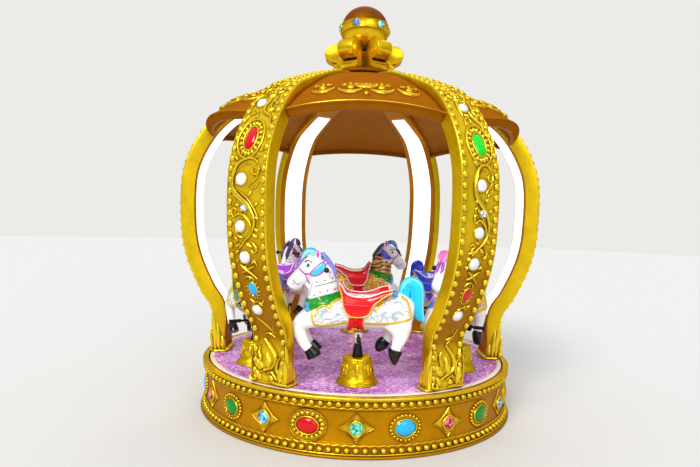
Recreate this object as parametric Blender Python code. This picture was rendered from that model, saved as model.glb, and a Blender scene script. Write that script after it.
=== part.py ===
"""Crown-shaped fairground carousel with six horses.

Metres, +Z up, origin on the ground at the centre of the round base.
Azimuths are counted from +X towards +Y; the front of the ride is -Y.
"""
import math

import bmesh
import bpy
from mathutils import Matrix, Vector

# Driving dimensions
BASE_RADIUS = 1.20
DECK_TOP = 0.372
DECK_THICKNESS = 0.040
DECK_RADIUS = 1.138
SKIRT_WALL_RADIUS = 1.155
SKIRT_INNER_RADIUS = 1.130
LIP_RADIUS = 1.190
SEAT_COUNT = 6
SEAT_RADIUS = 0.85
PIN_RADIUS = 0.060
JEWEL_COUNT = 12
JEWEL_HEIGHT = 0.178
OVAL_HALF = (0.116, 0.090)
STAR_HALF = (0.107, 0.090)
STAR_WAIST = 0.40

# Small gap left between pieces that touch
GAP = 0.0003

# Steps round the base's rings
RING_STEPS = 50

# Faces that bend less than this are joined
FLATNESS = math.radians(3.0)

# Ribs: outer line from the shoe to the crown, as radius and height
RIB_LINE = [
    (1.138, 0.665), (1.160, 0.740), (1.222, 0.830), (1.300, 0.990), (1.352, 1.130), (1.384, 1.280),
    (1.396, 1.440), (1.399, 1.600), (1.388, 1.760), (1.350, 1.900), (1.280, 2.045), (1.185, 2.180),
    (1.060, 2.292), (0.900, 2.368), (0.700, 2.446), (0.480, 2.514), (0.200, 2.550),
]
RIB_DEPTH = 0.115
RIB_HALF_WIDTH_AT_AXIS = 0.050
RIB_WIDENING = 0.070
RIB_MARGIN = 0.034
RIB_FIELD_SINK = 0.011

# Shoe at the foot of a rib: height, outer radius, inner radius, half width
SHOE = [
    (DECK_TOP + GAP, 1.126, 0.996, 0.154),
    (0.388, 1.126, 0.996, 0.154),
    (0.396, 1.146, 1.004, 0.146),
    (0.470, 1.160, 1.010, 0.152),
    (0.560, 1.158, 1.014, 0.148),
    (0.630, 1.150, 1.022, 0.138),
]

STRIP_SHARE = 0.60
STRIP_THICKNESS = 0.012

# Roof panel, outer line from the moulding at the eaves to the crown
ROOF_LINE = [
    (1.196, 2.140), (1.060, 2.246), (0.900, 2.330), (0.750, 2.400),
    (0.600, 2.455), (0.400, 2.503), (0.200, 2.528),
]
ROOF_THICKNESS = 0.024
FASCIA_BOTTOM = 2.090
EAVES_DROP = 0.042

# Carving on a rib's outer face, as distance across and height
RIB_SCROLL = [
    (0.056, 1.758), (-0.010, 1.782), (-0.074, 1.728), (-0.098, 1.640), (-0.050, 1.566),
    (0.022, 1.508), (0.056, 1.420), (0.038, 1.330), (-0.066, 1.236),
]
RIB_HOOK = [(-0.088, 1.440), (-0.040, 1.458), (0.030, 1.410)]
RIB_CROWN_SCROLL = [(0.060, 1.990), (0.040, 2.080), (-0.010, 2.185)]
RIB_MOUNDS = [
    (-0.010, 1.912, 0.092, 0.126), (-0.036, 1.660, 0.038, 0.038), (-0.044, 1.378, 0.034, 0.034),
    (-0.034, 1.190, 0.036, 0.036), (-0.018, 0.994, 0.040, 0.052), (-0.042, 0.856, 0.036, 0.036),
    (0.000, 0.545, 0.040, 0.115), (-0.092, 0.500, 0.034, 0.090), (0.092, 0.500, 0.034, 0.090),
]

# Carving on a roof panel: middle of each scroll across the panel and its foot up the slope
ROOF_SCROLLS = [(-0.272, 0.132), (-0.096, 0.108), (0.096, 0.108), (0.272, 0.132)]
ROOF_SCROLL_HALF = 0.062

BALL_CENTRE = 2.930
BALL_RADIUS = 0.188
BALL_SEAT = 2.750

HORSE_TRAVEL = 0.120
POST_RADIUS = 0.0175
BELL_BORE = 0.0185
POST_FOOT = DECK_TOP + 0.012
BOSS_BOTTOM = 0.708

COLOURS = {
    "gold_paint": (0.72, 0.50, 0.10),
    "dark_gold_paint": (0.55, 0.36, 0.08),
    "deck_paint": (0.62, 0.42, 0.72),
    "steel": (0.45, 0.46, 0.48),
    "light_diffuser": (0.95, 0.95, 0.95),
    "white_paint": (0.92, 0.92, 0.90),
}


def clear_scene():
    for item in list(bpy.data.objects):
        bpy.data.objects.remove(item, do_unlink=True)


def paint(name, colour_key):
    material = bpy.data.materials.get(name)
    if material is None:
        material = bpy.data.materials.new(name)
        material.use_nodes = True
        shader = material.node_tree.nodes["Principled BSDF"]
        colour = COLOURS[colour_key]
        shader.inputs["Base Color"].default_value = (colour[0], colour[1], colour[2], 1.0)
        shader.inputs["Roughness"].default_value = 0.4
    return material


def finish_mesh(bm, name, colour_key=None, smooth=False):
    bmesh.ops.remove_doubles(bm, verts=bm.verts, dist=0.00001)
    bmesh.ops.triangulate(bm, faces=[f for f in bm.faces if len(f.verts) > 3])
    bmesh.ops.recalc_face_normals(bm, faces=bm.faces)
    mesh = bpy.data.meshes.new(name)
    bm.to_mesh(mesh)
    bm.free()
    item = bpy.data.objects.new(name, mesh)
    bpy.context.scene.collection.objects.link(item)
    if colour_key:
        mesh.materials.append(paint(name + "_" + colour_key, colour_key))
    for polygon in mesh.polygons:
        polygon.use_smooth = smooth
    return item


def loft(rings, name, colour_key=None, smooth=False):
    """Closed skin through rings of equal length, capped at both ends."""
    bm = bmesh.new()
    rows = [[bm.verts.new(point) for point in ring] for ring in rings]
    count = len(rows[0])
    for low, high in zip(rows, rows[1:]):
        for i in range(count):
            j = (i + 1) % count
            bm.faces.new((low[i], low[j], high[j], high[i]))
    bm.faces.new(rows[0])
    bm.faces.new(rows[-1])
    return finish_mesh(bm, name, colour_key, smooth)


def revolve(profile, name, colour_key=None, steps=48, smooth=True):
    """Turn a closed profile of (radius, height) about Z; points on the axis become poles."""
    bm = bmesh.new()
    verts = [bm.verts.new((radius, 0.0, height)) for radius, height in profile]
    edges = []
    for i in range(len(verts)):
        j = (i + 1) % len(verts)
        if profile[i][0] < 1e-6 and profile[j][0] < 1e-6:
            continue
        edges.append(bm.edges.new((verts[i], verts[j])))
    bmesh.ops.spin(
        bm, geom=verts + edges, cent=(0, 0, 0), axis=(0, 0, 1), angle=2 * math.pi,
        steps=steps, use_duplicate=False, use_merge=True,
    )
    return finish_mesh(bm, name, colour_key, smooth)


def unite(target, others):
    """Join closed shapes into one closed body."""
    group = bpy.data.collections.new("parts_of_" + target.name)
    for other in others:
        group.objects.link(other)
    modifier = target.modifiers.new("unite", "BOOLEAN")
    modifier.operation = "UNION"
    modifier.solver = "EXACT"
    modifier.operand_type = "COLLECTION"
    modifier.collection = group
    bpy.context.view_layer.update()
    graph = bpy.context.evaluated_depsgraph_get()
    mesh = bpy.data.meshes.new_from_object(target.evaluated_get(graph))
    target.modifiers.clear()
    material_slots = [slot.material for slot in target.material_slots]
    target.data = mesh
    mesh.materials.clear()
    for material in material_slots:
        mesh.materials.append(material)
    for other in others:
        bpy.data.objects.remove(other, do_unlink=True)
    bpy.data.collections.remove(group)
    bm = bmesh.new()
    bm.from_mesh(mesh)
    bmesh.ops.remove_doubles(bm, verts=bm.verts, dist=0.0002)
    bmesh.ops.dissolve_degenerate(bm, dist=0.0001, edges=bm.edges)
    bmesh.ops.dissolve_limit(bm, angle_limit=FLATNESS, verts=bm.verts, edges=bm.edges)
    bmesh.ops.triangulate(bm, faces=[f for f in bm.faces if len(f.verts) > 3])
    bmesh.ops.recalc_face_normals(bm, faces=bm.faces)
    for face in bm.faces:
        face.material_index = 0
    bm.to_mesh(mesh)
    bm.free()
    return target


def turned(item, angle):
    item.data.transform(Matrix.Rotation(angle, 4, "Z"))
    item.data.update()
    return item


def copy_turned(source, name, angle):
    item = bpy.data.objects.new(name, source.data.copy())
    bpy.context.scene.collection.objects.link(item)
    return turned(item, angle)


def around(source, stem, first_angle):
    """Six copies of a piece; number 1 is turned by first_angle, then every 60 degrees."""
    pieces = []
    for number in range(SEAT_COUNT):
        angle = first_angle + number * 2 * math.pi / SEAT_COUNT
        pieces.append(copy_turned(source, "%s_%d" % (stem, number + 1), angle))
    bpy.data.objects.remove(source, do_unlink=True)
    for piece in pieces:
        piece.data.name = piece.name
    return pieces


def offset_line(line, distance):
    """Offset an open line of (radius, height) to its inner side, mitred at the bends."""
    result = []
    for i, (radius, height) in enumerate(line):
        normals = []
        if i > 0:
            step = Vector((radius - line[i - 1][0], height - line[i - 1][1])).normalized()
            normals.append(Vector((-step.y, step.x)))
        if i < len(line) - 1:
            step = Vector((line[i + 1][0] - radius, line[i + 1][1] - height)).normalized()
            normals.append(Vector((-step.y, step.x)))
        normal = sum(normals, Vector((0, 0))).normalized()
        scale = distance / max(0.5, normal.dot(normals[0]))
        result.append((radius + normal.x * scale, height + normal.y * scale))
    return result


def rib_half_width(radius):
    return RIB_HALF_WIDTH_AT_AXIS + RIB_WIDENING * radius


def build_skirt():
    profile = [
        (SKIRT_INNER_RADIUS, 0.0), (BASE_RADIUS, 0.0), (BASE_RADIUS, 0.018), (1.178, 0.024), (1.176, 0.070),
        (SKIRT_WALL_RADIUS, 0.080), (SKIRT_WALL_RADIUS, 0.288), (1.174, 0.298), (1.174, 0.350),
        (LIP_RADIUS, 0.354), (LIP_RADIUS, DECK_TOP), (1.146, DECK_TOP), (1.146, 0.322),
        (SKIRT_INNER_RADIUS, 0.316),
    ]
    skirt = revolve(profile, "base_skirt", "gold_paint", steps=RING_STEPS)
    bosses = []
    for number in range(2 * JEWEL_COUNT):
        oval = number % 2 == 1
        half = OVAL_HALF if oval else STAR_HALF
        points = 12 if oval else 8
        rings = []
        for radius, share in ((1.135, 1.0), (1.168, 1.0), (1.180, 0.70)):
            ring = []
            for i in range(points):
                turn = 2 * math.pi * i / points
                reach = share * (STAR_WAIST if i % 2 == 1 and not oval else 1.0)
                across = half[0] * reach * math.cos(turn)
                up = half[1] * reach * math.sin(turn)
                ring.append((radius, across, JEWEL_HEIGHT + up))
            rings.append(ring)
        boss = loft(rings, "boss_%d" % number)
        bosses.append(turned(boss, math.radians(-90 + 15 * number)))
    return unite(skirt, bosses)


def build_ground_parts():
    radius = SKIRT_INNER_RADIUS - GAP
    profile = [(0.0, 0.0), (radius, 0.0), (radius, 0.030), (0.0, 0.030)]
    revolve(profile, "base_plate", "steel", steps=RING_STEPS)
    low = 0.030 + GAP
    profile = [
        (0.0, low), (0.260, low), (0.260, 0.050), (0.200, 0.060), (0.200, 0.1985),
        (PIN_RADIUS, 0.1985), (PIN_RADIUS, 0.318), (0.0, 0.318),
    ]
    revolve(profile, "centre_bearing", "steel", steps=16)


def build_deck():
    under = DECK_TOP - DECK_THICKNESS
    bore = PIN_RADIUS + 0.001
    profile = [
        (0.0, DECK_TOP), (DECK_RADIUS, DECK_TOP), (DECK_RADIUS, under), (0.250, under), (0.220, 0.200),
        (bore, 0.200), (bore, 0.324), (0.0, 0.324),
    ]
    revolve(profile, "turntable_deck", "deck_paint", steps=RING_STEPS)


def ridge(places, half, rise, name):
    """Low ridge along surface places, each a point with the surface's outward direction."""
    rings = []
    for i, (point, out) in enumerate(places):
        before = places[max(0, i - 1)][0]
        after = places[min(len(places) - 1, i + 1)][0]
        side = (after - before).cross(out).normalized() * half
        foot = point - out * 0.006
        rings.append([foot - side, foot + side, point + side * 0.3 + out * rise])
    return loft(rings, name)


def mound(point, out, across, wide, high, rise, name, sides=6):
    """Low oval boss on a surface."""
    up = out.cross(across).normalized()
    rings = []
    for share, lift in ((1.0, -0.006), (0.80, rise)):
        ring = []
        for k in range(sides):
            turn = 2 * math.pi * (k + 0.5) / sides
            sideways = across * wide * share * math.cos(turn)
            ring.append(point + sideways + up * high * share * math.sin(turn) + out * lift)
        rings.append(ring)
    return loft(rings, name)


def rib_place(across, height):
    """Point of the rib's sunk outer field at a height, with its outward direction."""
    line = [(outer, z) for z, outer, _, _ in SHOE[3:]] + RIB_LINE
    i = 0
    while i < len(line) - 2 and line[i + 1][1] < height:
        i += 1
    share = (height - line[i][1]) / (line[i + 1][1] - line[i][1])
    radius = line[i][0] + (line[i + 1][0] - line[i][0]) * share
    step = Vector((line[i + 1][0] - line[i][0], 0, line[i + 1][1] - line[i][1])).normalized()
    out = Vector((step.z, 0, -step.x))
    return Vector((radius, across, height)) - out * RIB_FIELD_SINK, out


def build_rib(hand):
    """One rib; hand is 1 or -1 and mirrors its carving."""
    rings = []
    for number, (height, outer, inner, half) in enumerate(SHOE):
        sink = RIB_FIELD_SINK if number > 2 else 0.002
        ridge_edge = half - RIB_MARGIN
        rings.append([
            (outer, -half, height), (outer, -ridge_edge, height),
            (outer - sink, 0.004 - ridge_edge, height), (outer - sink, ridge_edge - 0.004, height),
            (outer, ridge_edge, height), (outer, half, height),
            (inner, half, height), (inner, -half, height),
        ])
    inner_line = offset_line(RIB_LINE, RIB_DEPTH)
    field_line = offset_line(RIB_LINE, RIB_FIELD_SINK)
    for (ro, zo), (rf, zf), (ri, zi) in zip(RIB_LINE, field_line, inner_line):
        wide = rib_half_width(ro)
        thin = rib_half_width(ri)
        ridge_edge = wide - RIB_MARGIN
        rings.append([
            (ro, -wide, zo), (ro, -ridge_edge, zo), (rf, 0.004 - ridge_edge, zf),
            (rf, ridge_edge - 0.004, zf), (ro, ridge_edge, zo), (ro, wide, zo),
            (ri, thin, zi), (ri, -thin, zi),
        ])
    rib = loft(rings, "rib", "gold_paint")
    carving = []
    for path in (RIB_SCROLL, RIB_HOOK, RIB_CROWN_SCROLL):
        places = [rib_place(hand * across, height) for across, height in path]
        carving.append(ridge(places, 0.013, 0.009, "scroll"))
    for across, height, wide, high in RIB_MOUNDS:
        point, out = rib_place(hand * across, height)
        sides = 8 if high > 0.11 else 6
        carving.append(mound(point, out, Vector((0, 1, 0)), wide, high, 0.010, "mound", sides))
    return unite(rib, carving)


def build_strip():
    outer = offset_line(RIB_LINE, RIB_DEPTH + GAP)
    inner = offset_line(RIB_LINE, RIB_DEPTH + GAP + STRIP_THICKNESS)
    rings = []
    for (ro, zo), (ri, zi) in list(zip(outer, inner))[:15]:
        half = STRIP_SHARE * rib_half_width(ro)
        rings.append([(ro, -half, zo), (ro, half, zo), (ri, half, zi), (ri, -half, zi)])
    return loft(rings, "light_strip", "light_diffuser")


def edge_angle(radius):
    """Angle off a rib's middle at which a roof panel starts, along the rib's flat side."""
    slope = math.hypot(1.0, RIB_WIDENING)
    reach = (RIB_HALF_WIDTH_AT_AXIS + GAP * slope) / slope
    return math.atan(RIB_WIDENING) + math.asin(reach / radius)


def panel_point(radius, height, share):
    """Point of a roof panel; share runs from one rib, 0, to the next, 1."""
    start = edge_angle(radius)
    angle = start + (math.radians(60) - 2 * start) * share
    reach = min(1.0, max(0.0, (radius - 0.55) / 0.60))
    drop = EAVES_DROP * reach * (2 * share - 1) ** 2
    return Vector((radius * math.cos(angle), radius * math.sin(angle), height - drop))


def panel_place(across, up):
    """Point of a roof panel's outer face and its outward direction; up is counted from the eaves."""
    i = 0
    start = 0.0
    while i < len(ROOF_LINE) - 2:
        step = math.dist(ROOF_LINE[i], ROOF_LINE[i + 1])
        if start + step > up:
            break
        start += step
        i += 1
    (r0, z0), (r1, z1) = ROOF_LINE[i], ROOF_LINE[i + 1]
    share = (up - start) / math.dist((r0, z0), (r1, z1))
    radius = r0 + (r1 - r0) * share
    height = z0 + (z1 - z0) * share
    width = (math.radians(60) - 2 * edge_angle(radius)) * radius
    point = panel_point(radius, height, 0.5 + across / width)
    upward = panel_point(radius - 0.02, height + 0.02 * (z1 - z0) / (r0 - r1), 0.5 + across / width) - point
    sideways = panel_point(radius, height, 0.52 + across / width) - point
    out = sideways.cross(upward).normalized()
    if out.z < 0:
        out.negate()
    return point, out


def build_panel():
    under = offset_line(ROOF_LINE, ROOF_THICKNESS)
    profile = [(1.168, FASCIA_BOTTOM), (1.192, 2.124), (1.208, 2.130), (1.208, 2.144)]
    profile += ROOF_LINE
    profile += list(reversed(under[1:]))
    profile += [(1.160, 2.128), (1.142, FASCIA_BOTTOM)]
    rings = []
    steps = 8
    for i in range(steps + 1):
        rings.append([panel_point(radius, height, i / steps) for radius, height in profile])
    panel = loft(rings, "roof_panel", "dark_gold_paint", smooth=True)
    carving = []
    half = ROOF_SCROLL_HALF
    path = [(-0.5, 0.098), (-1.0, 0.052), (-0.55, 0.010), (0.0, 0.0), (0.55, 0.010), (1.0, 0.052), (0.5, 0.098)]
    for middle, foot in ROOF_SCROLLS:
        places = [panel_place(middle + share * half, foot + up) for share, up in path]
        carving.append(ridge(places, 0.016, 0.010, "scroll"))
    point, out = panel_place(0.0, 0.205)
    along = (panel_place(0.02, 0.205)[0] - point).normalized()
    carving.append(mound(point, out, along, 0.062, 0.050, 0.010, "leaf", sides=7))
    return unite(panel, carving)


def build_finial():
    cap_low = RIB_LINE[-1][1] + GAP
    stem_top = BALL_SEAT - GAP
    profile = [
        (0.0, cap_low), (0.290, cap_low), (0.290, 2.572), (0.240, 2.590), (0.110, 2.600),
        (0.100, stem_top), (0.0, stem_top),
    ]
    cap = revolve(profile, "finial_scrolls", "gold_paint", steps=20)
    outline = [
        (0.108, 2.575), (0.128, 2.660), (0.138, 2.745), (0.172, 2.792), (0.220, 2.806), (0.268, 2.796),
        (0.302, 2.764), (0.309, 2.722), (0.290, 2.682), (0.250, 2.660), (0.212, 2.656), (0.204, 2.640),
        (0.214, 2.575),
    ]
    straps = []
    for number in range(SEAT_COUNT):
        rings = [[(radius, side, height) for radius, height in outline] for side in (-0.066, 0.066)]
        straps.append(turned(loft(rings, "bracket_%d" % number), math.radians(60 * number)))
    unite(cap, straps)
    foot = math.sqrt(BALL_RADIUS ** 2 - (BALL_CENTRE - BALL_SEAT) ** 2)
    profile = [(0.0, BALL_SEAT), (foot, BALL_SEAT)]
    for i in range(2, 12):
        turn = -math.pi / 2 + math.pi * i / 12
        profile.append((BALL_RADIUS * math.cos(turn), BALL_CENTRE + BALL_RADIUS * math.sin(turn)))
    profile.append((0.0, BALL_CENTRE + BALL_RADIUS))
    revolve(profile, "finial_ball", "gold_paint", steps=24)


def build_bell():
    profile = [
        (0.112, 0.0), (0.140, 0.0), (0.140, 0.008), (0.124, 0.020), (0.110, 0.042), (0.097, 0.125),
        (0.093, 0.152), (0.087, 0.173), (0.033, 0.173), (0.028, 0.215), (0.023, 0.260), (BELL_BORE, 0.260),
        (BELL_BORE, 0.158), (0.076, 0.154), (0.096, 0.040), (0.108, 0.016),
    ]
    base = DECK_TOP + GAP
    bell = revolve([(radius, base + height) for radius, height in profile], "bell", "gold_paint", steps=14)
    bell.data.transform(Matrix.Translation((SEAT_RADIUS, 0, 0)))
    return bell


def tube(stations, name, sides=8, lateral=0.0):
    """Tube in the plane of the horse: stations hold x, z, half width and half thickness."""
    rings = []
    for i, (x, z, half_width, half_thick) in enumerate(stations):
        before = stations[max(0, i - 1)]
        after = stations[min(len(stations) - 1, i + 1)]
        along = Vector((after[0] - before[0], after[1] - before[1])).normalized()
        across = Vector((-along.y, along.x))
        ring = []
        for k in range(sides):
            turn = 2 * math.pi * (k + 0.5) / sides
            y = lateral + half_width * math.cos(turn)
            off = half_thick * math.sin(turn)
            ring.append((x + across.x * off, y, z + across.y * off))
        rings.append(ring)
    return loft(rings, name)


def cross_bar(x, z, radius, reach, name, sides=8):
    rings = []
    for y in (-reach, reach):
        ring = []
        for k in range(sides):
            turn = 2 * math.pi * (k + 0.5) / sides
            ring.append((x + radius * math.cos(turn), y, z + radius * math.sin(turn)))
        rings.append(ring)
    return loft(rings, name)


def upright(x, y, radius, low, high, name, sides=12):
    rings = []
    for z in (low, high):
        turns = [2 * math.pi * k / sides for k in range(sides)]
        rings.append([(x + radius * math.cos(turn), y + radius * math.sin(turn), z) for turn in turns])
    return loft(rings, name)


def build_horse():
    """One moulding facing -X, its post on the line x = 0, y = 0."""
    body = tube([
        (-0.350, 0.862, 0.050, 0.045), (-0.312, 0.858, 0.098, 0.098), (-0.215, 0.850, 0.130, 0.130),
        (-0.050, 0.836, 0.134, 0.116), (0.100, 0.838, 0.137, 0.118), (0.225, 0.848, 0.142, 0.122),
        (0.318, 0.852, 0.112, 0.100), (0.360, 0.856, 0.050, 0.045),
    ], "horse", sides=10)
    parts = []
    parts.append(tube([
        (-0.195, 0.850, 0.095, 0.120), (-0.240, 0.945, 0.080, 0.108), (-0.246, 1.030, 0.070, 0.100),
        (-0.243, 1.105, 0.060, 0.088), (-0.250, 1.168, 0.038, 0.052),
    ], "neck"))
    parts.append(tube([
        (-0.262, 1.172, 0.042, 0.040), (-0.310, 1.134, 0.062, 0.074), (-0.368, 1.082, 0.060, 0.074),
        (-0.412, 1.030, 0.050, 0.062), (-0.436, 0.996, 0.046, 0.054), (-0.448, 0.974, 0.028, 0.034),
    ], "head"))
    for side in (-1, 1):
        parts.append(tube([
            (-0.268, 1.175, 0.022, 0.024), (-0.276, 1.218, 0.020, 0.022), (-0.279, 1.252, 0.004, 0.004),
        ], "ear", sides=5, lateral=side * 0.040))
    parts.append(tube([
        (-0.392, 1.150, 0.012, 0.012), (-0.362, 1.182, 0.032, 0.030), (-0.316, 1.214, 0.030, 0.026),
        (-0.280, 1.200, 0.016, 0.016),
    ], "forelock", sides=6))
    parts.append(tube([
        (-0.262, 1.206, 0.020, 0.016), (-0.196, 1.158, 0.032, 0.030), (-0.164, 1.100, 0.034, 0.030),
        (-0.152, 1.020, 0.026, 0.024),
    ], "mane", sides=6))
    parts.append(tube([
        (0.268, 0.920, 0.034, 0.034), (0.316, 0.984, 0.040, 0.044), (0.360, 1.010, 0.044, 0.050),
        (0.390, 0.952, 0.046, 0.048), (0.396, 0.887, 0.044, 0.045), (0.404, 0.827, 0.036, 0.038),
        (0.424, 0.780, 0.020, 0.022), (0.438, 0.762, 0.006, 0.006),
    ], "tail", sides=6))
    for side in (-1, 1):
        parts.append(tube([
            (-0.200, 0.815, 0.055, 0.080), (-0.318, 0.796, 0.046, 0.062), (-0.388, 0.760, 0.040, 0.046),
            (-0.378, 0.690, 0.037, 0.044), (-0.348, 0.630, 0.036, 0.044), (-0.306, 0.590, 0.040, 0.046),
            (-0.258, 0.564, 0.036, 0.034),
        ], "fore_leg", sides=6, lateral=side * 0.074))
    parts.append(tube([
        (0.210, 0.845, 0.064, 0.112), (0.254, 0.760, 0.058, 0.096), (0.266, 0.690, 0.046, 0.062),
        (0.254, 0.640, 0.038, 0.048), (0.242, 0.596, 0.038, 0.042), (0.234, 0.555, 0.043, 0.048),
        (0.230, 0.510, 0.036, 0.036),
    ], "hind_leg_near", sides=6, lateral=-0.076))
    parts.append(tube([
        (0.198, 0.845, 0.064, 0.110), (0.222, 0.765, 0.056, 0.090), (0.222, 0.705, 0.044, 0.056),
        (0.200, 0.660, 0.037, 0.044), (0.172, 0.628, 0.038, 0.042), (0.140, 0.592, 0.036, 0.034),
    ], "hind_leg_far", sides=6, lateral=0.076))
    outline = [
        (-0.136, 1.034), (-0.118, 1.000), (-0.062, 0.956), (0.020, 0.944), (0.080, 0.950), (0.135, 0.970),
        (0.202, 1.000), (0.206, 0.984), (0.152, 0.944), (0.092, 0.900), (0.064, 0.856), (0.040, 0.822),
        (-0.046, 0.822), (-0.086, 0.842), (-0.100, 0.884), (-0.118, 0.950),
    ]
    parts.append(loft([[(x, side, z) for x, z in outline] for side in (-0.148, 0.148)], "saddle"))
    parts.append(cross_bar(-0.214, 1.112, 0.014, 0.132, "handlebar", sides=6))
    parts.append(upright(0.0, 0.0, 0.036, BOSS_BOTTOM, 0.800, "boss", sides=10))
    unite(body, parts)
    body.data.materials.clear()
    body.data.materials.append(paint("horse_paint", "white_paint"))
    body.data.transform(Matrix.Rotation(math.radians(90), 4, "Z"))
    body.data.transform(Matrix.Translation((SEAT_RADIUS, 0, 0)))
    for polygon in body.data.polygons:
        polygon.use_smooth = True
    return body


def build_post():
    post = upright(0.0, 0.0, POST_RADIUS, POST_FOOT, BOSS_BOTTOM - GAP, "post", sides=16)
    bar = cross_bar(0.0, BOSS_BOTTOM - 0.022, 0.012, 0.205, "foot_bar", sides=8)
    unite(post, [bar])
    post.data.materials.clear()
    post.data.materials.append(paint("post_paint", "white_paint"))
    post.data.transform(Matrix.Rotation(math.radians(90), 4, "Z"))
    post.data.transform(Matrix.Translation((SEAT_RADIUS, 0, 0)))
    return post


def build():
    clear_scene()
    build_skirt()
    build_ground_parts()
    build_deck()
    sources = [build_rib(-1), build_rib(1)]
    for number in range(SEAT_COUNT):
        copy_turned(sources[number % 2], "rib_%d" % (number + 1), math.radians(60 * number - 60))
    for source in sources:
        bpy.data.objects.remove(source, do_unlink=True)
    around(build_strip(), "light_strip", math.radians(-60))
    around(build_panel(), "roof_panel", math.radians(-120))
    build_finial()
    around(build_bell(), "bell", math.radians(-90))
    around(build_horse(), "horse", math.radians(-90))
    around(build_post(), "horse_post", math.radians(-90))


build()
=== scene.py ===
import math
import random

import bmesh
import bpy
from bpy.props import FloatProperty, FloatVectorProperty, IntProperty, PointerProperty
from mathutils import Matrix, Vector
from mathutils.bvhtree import BVHTree


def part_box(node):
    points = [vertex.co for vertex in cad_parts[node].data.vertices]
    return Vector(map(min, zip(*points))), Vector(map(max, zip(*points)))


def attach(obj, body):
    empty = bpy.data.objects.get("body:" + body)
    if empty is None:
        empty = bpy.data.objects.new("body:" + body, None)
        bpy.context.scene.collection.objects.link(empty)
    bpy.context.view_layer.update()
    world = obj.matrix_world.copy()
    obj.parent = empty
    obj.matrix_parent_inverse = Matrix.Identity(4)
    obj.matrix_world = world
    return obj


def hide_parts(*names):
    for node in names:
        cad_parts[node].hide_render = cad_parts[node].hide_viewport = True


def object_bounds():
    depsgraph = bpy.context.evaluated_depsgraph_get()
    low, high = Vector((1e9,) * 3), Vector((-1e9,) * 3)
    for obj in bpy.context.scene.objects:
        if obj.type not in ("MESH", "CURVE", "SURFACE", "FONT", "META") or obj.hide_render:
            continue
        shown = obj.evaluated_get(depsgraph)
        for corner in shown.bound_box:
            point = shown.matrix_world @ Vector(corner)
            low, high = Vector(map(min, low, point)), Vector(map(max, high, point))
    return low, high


bl_info = {
    "name": "Fairground carousel",
    "version": (1, 0, 0),
    "blender": (4, 5, 0),
    "location": "View3D > Sidebar > Carousel",
    "description": "Builds the finished pieces of a small carousel around its packed frame",
    "category": "Object",
}

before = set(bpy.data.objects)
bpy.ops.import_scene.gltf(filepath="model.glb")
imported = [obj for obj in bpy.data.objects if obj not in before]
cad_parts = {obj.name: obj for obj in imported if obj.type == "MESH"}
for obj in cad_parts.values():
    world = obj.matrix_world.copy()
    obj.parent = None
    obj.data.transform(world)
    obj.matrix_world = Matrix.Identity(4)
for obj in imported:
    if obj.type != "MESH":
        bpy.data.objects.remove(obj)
CAD_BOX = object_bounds()


def metres(value):
    """Millimetres as metres: one number, or rows of them at any depth."""
    return value / 1000 if isinstance(value, (int, float)) else tuple(metres(part) for part in value)


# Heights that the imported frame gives
DECK_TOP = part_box("turntable_deck")[1].z
SKIRT_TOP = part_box("base_skirt")[1].z
# Directions of the six seats, ribs and roof panels about the axis
SEAT_ANGLES, RIB_ANGLES, PANEL_ANGLES = (
    [math.radians(first + 60 * n) for n in range(6)] for first in (-90, -60, -120)
)
SEAT_RADIUS = 0.85
TURN = 2 * math.pi

# Lines of the ribs and of the roof, as radius and height
RIB_LINE = metres((
    (1140, 373), (1144, 420), (1142, 500), (1137, 590), (1138, 665), (1160, 740), (1222, 830), (1300, 990),
    (1352, 1130), (1384, 1280), (1396, 1440), (1399, 1600), (1388, 1760), (1350, 1900), (1280, 2045), (1185, 2180),
    (1060, 2292), (900, 2368), (700, 2446), (480, 2514), (200, 2550),
))
RIB_DEPTH = 0.115
RIB_SINK = 0.016
ROOF_LINE = metres((
    (1196, 2140), (1060, 2246), (900, 2330), (750, 2400), (600, 2455), (400, 2503), (200, 2528),
))
ROOF_THICKNESS = 0.024
FASCIA_BOTTOM = 2.090
EAVES_DROP = 0.042
# A rib's half width grows with its radius from the axis
RIB_HALF = 0.050
RIB_SPREAD = 0.070


def linear(code):
    """Linear red, green, blue and alpha of an sRGB hex colour."""
    values = []
    for at in (0, 2, 4):
        share = int(code[at:at + 2], 16) / 255
        values.append(share / 12.92 if share <= 0.04045 else ((share + 0.055) / 1.055) ** 2.4)
    return (*values, 1.0)


def toned(colour, *factors):
    """A colour with its channels multiplied, by one factor for all or by one each."""
    return (*(min(1.0, c * f) for c, f in zip(colour[:3], factors if len(factors) == 3 else factors * 3)), 1.0)


def colour_property(name, description, code):
    return FloatVectorProperty(name=name, description=description, default=linear(code)[:3], subtype="COLOR",
                               size=3, min=0, max=1)


def length_property(name, description, default):
    return FloatProperty(name=name, description=description, default=default, min=0.001, max=1.0, unit="LENGTH")


class CAROUSEL_PG_base(bpy.types.PropertyGroup):
    bead_count: IntProperty(name="Beads", description="Beads in one row round the base", default=132, min=24,
                            max=240)
    bead_radius: length_property("Bead radius", "Radius of a bead on the base", 0.0215)
    jewel_height: length_property("Jewel height", "Height of the jewels' centres above the ground", 0.178)
    # Painted shade and highlight: the wall gold is darker for the shade on the wall, and the relief gold lighter for
    # the highlights on beads and mouldings, over a two-tone gilding
    wall_colour: colour_property("Wall", "Brown gold of the base wall", "BC8208")
    relief_colour: colour_property("Relief", "Bright gold of the beads and mouldings", "F6CE2E")


class CAROUSEL_PG_deck(bpy.types.PropertyGroup):
    floor_colour: colour_property("Floor", "Violet of the glitter floor", "C436D0")
    flake_colour: colour_property("Flakes", "Pale flakes in the floor", "FFE2FF")


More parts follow.
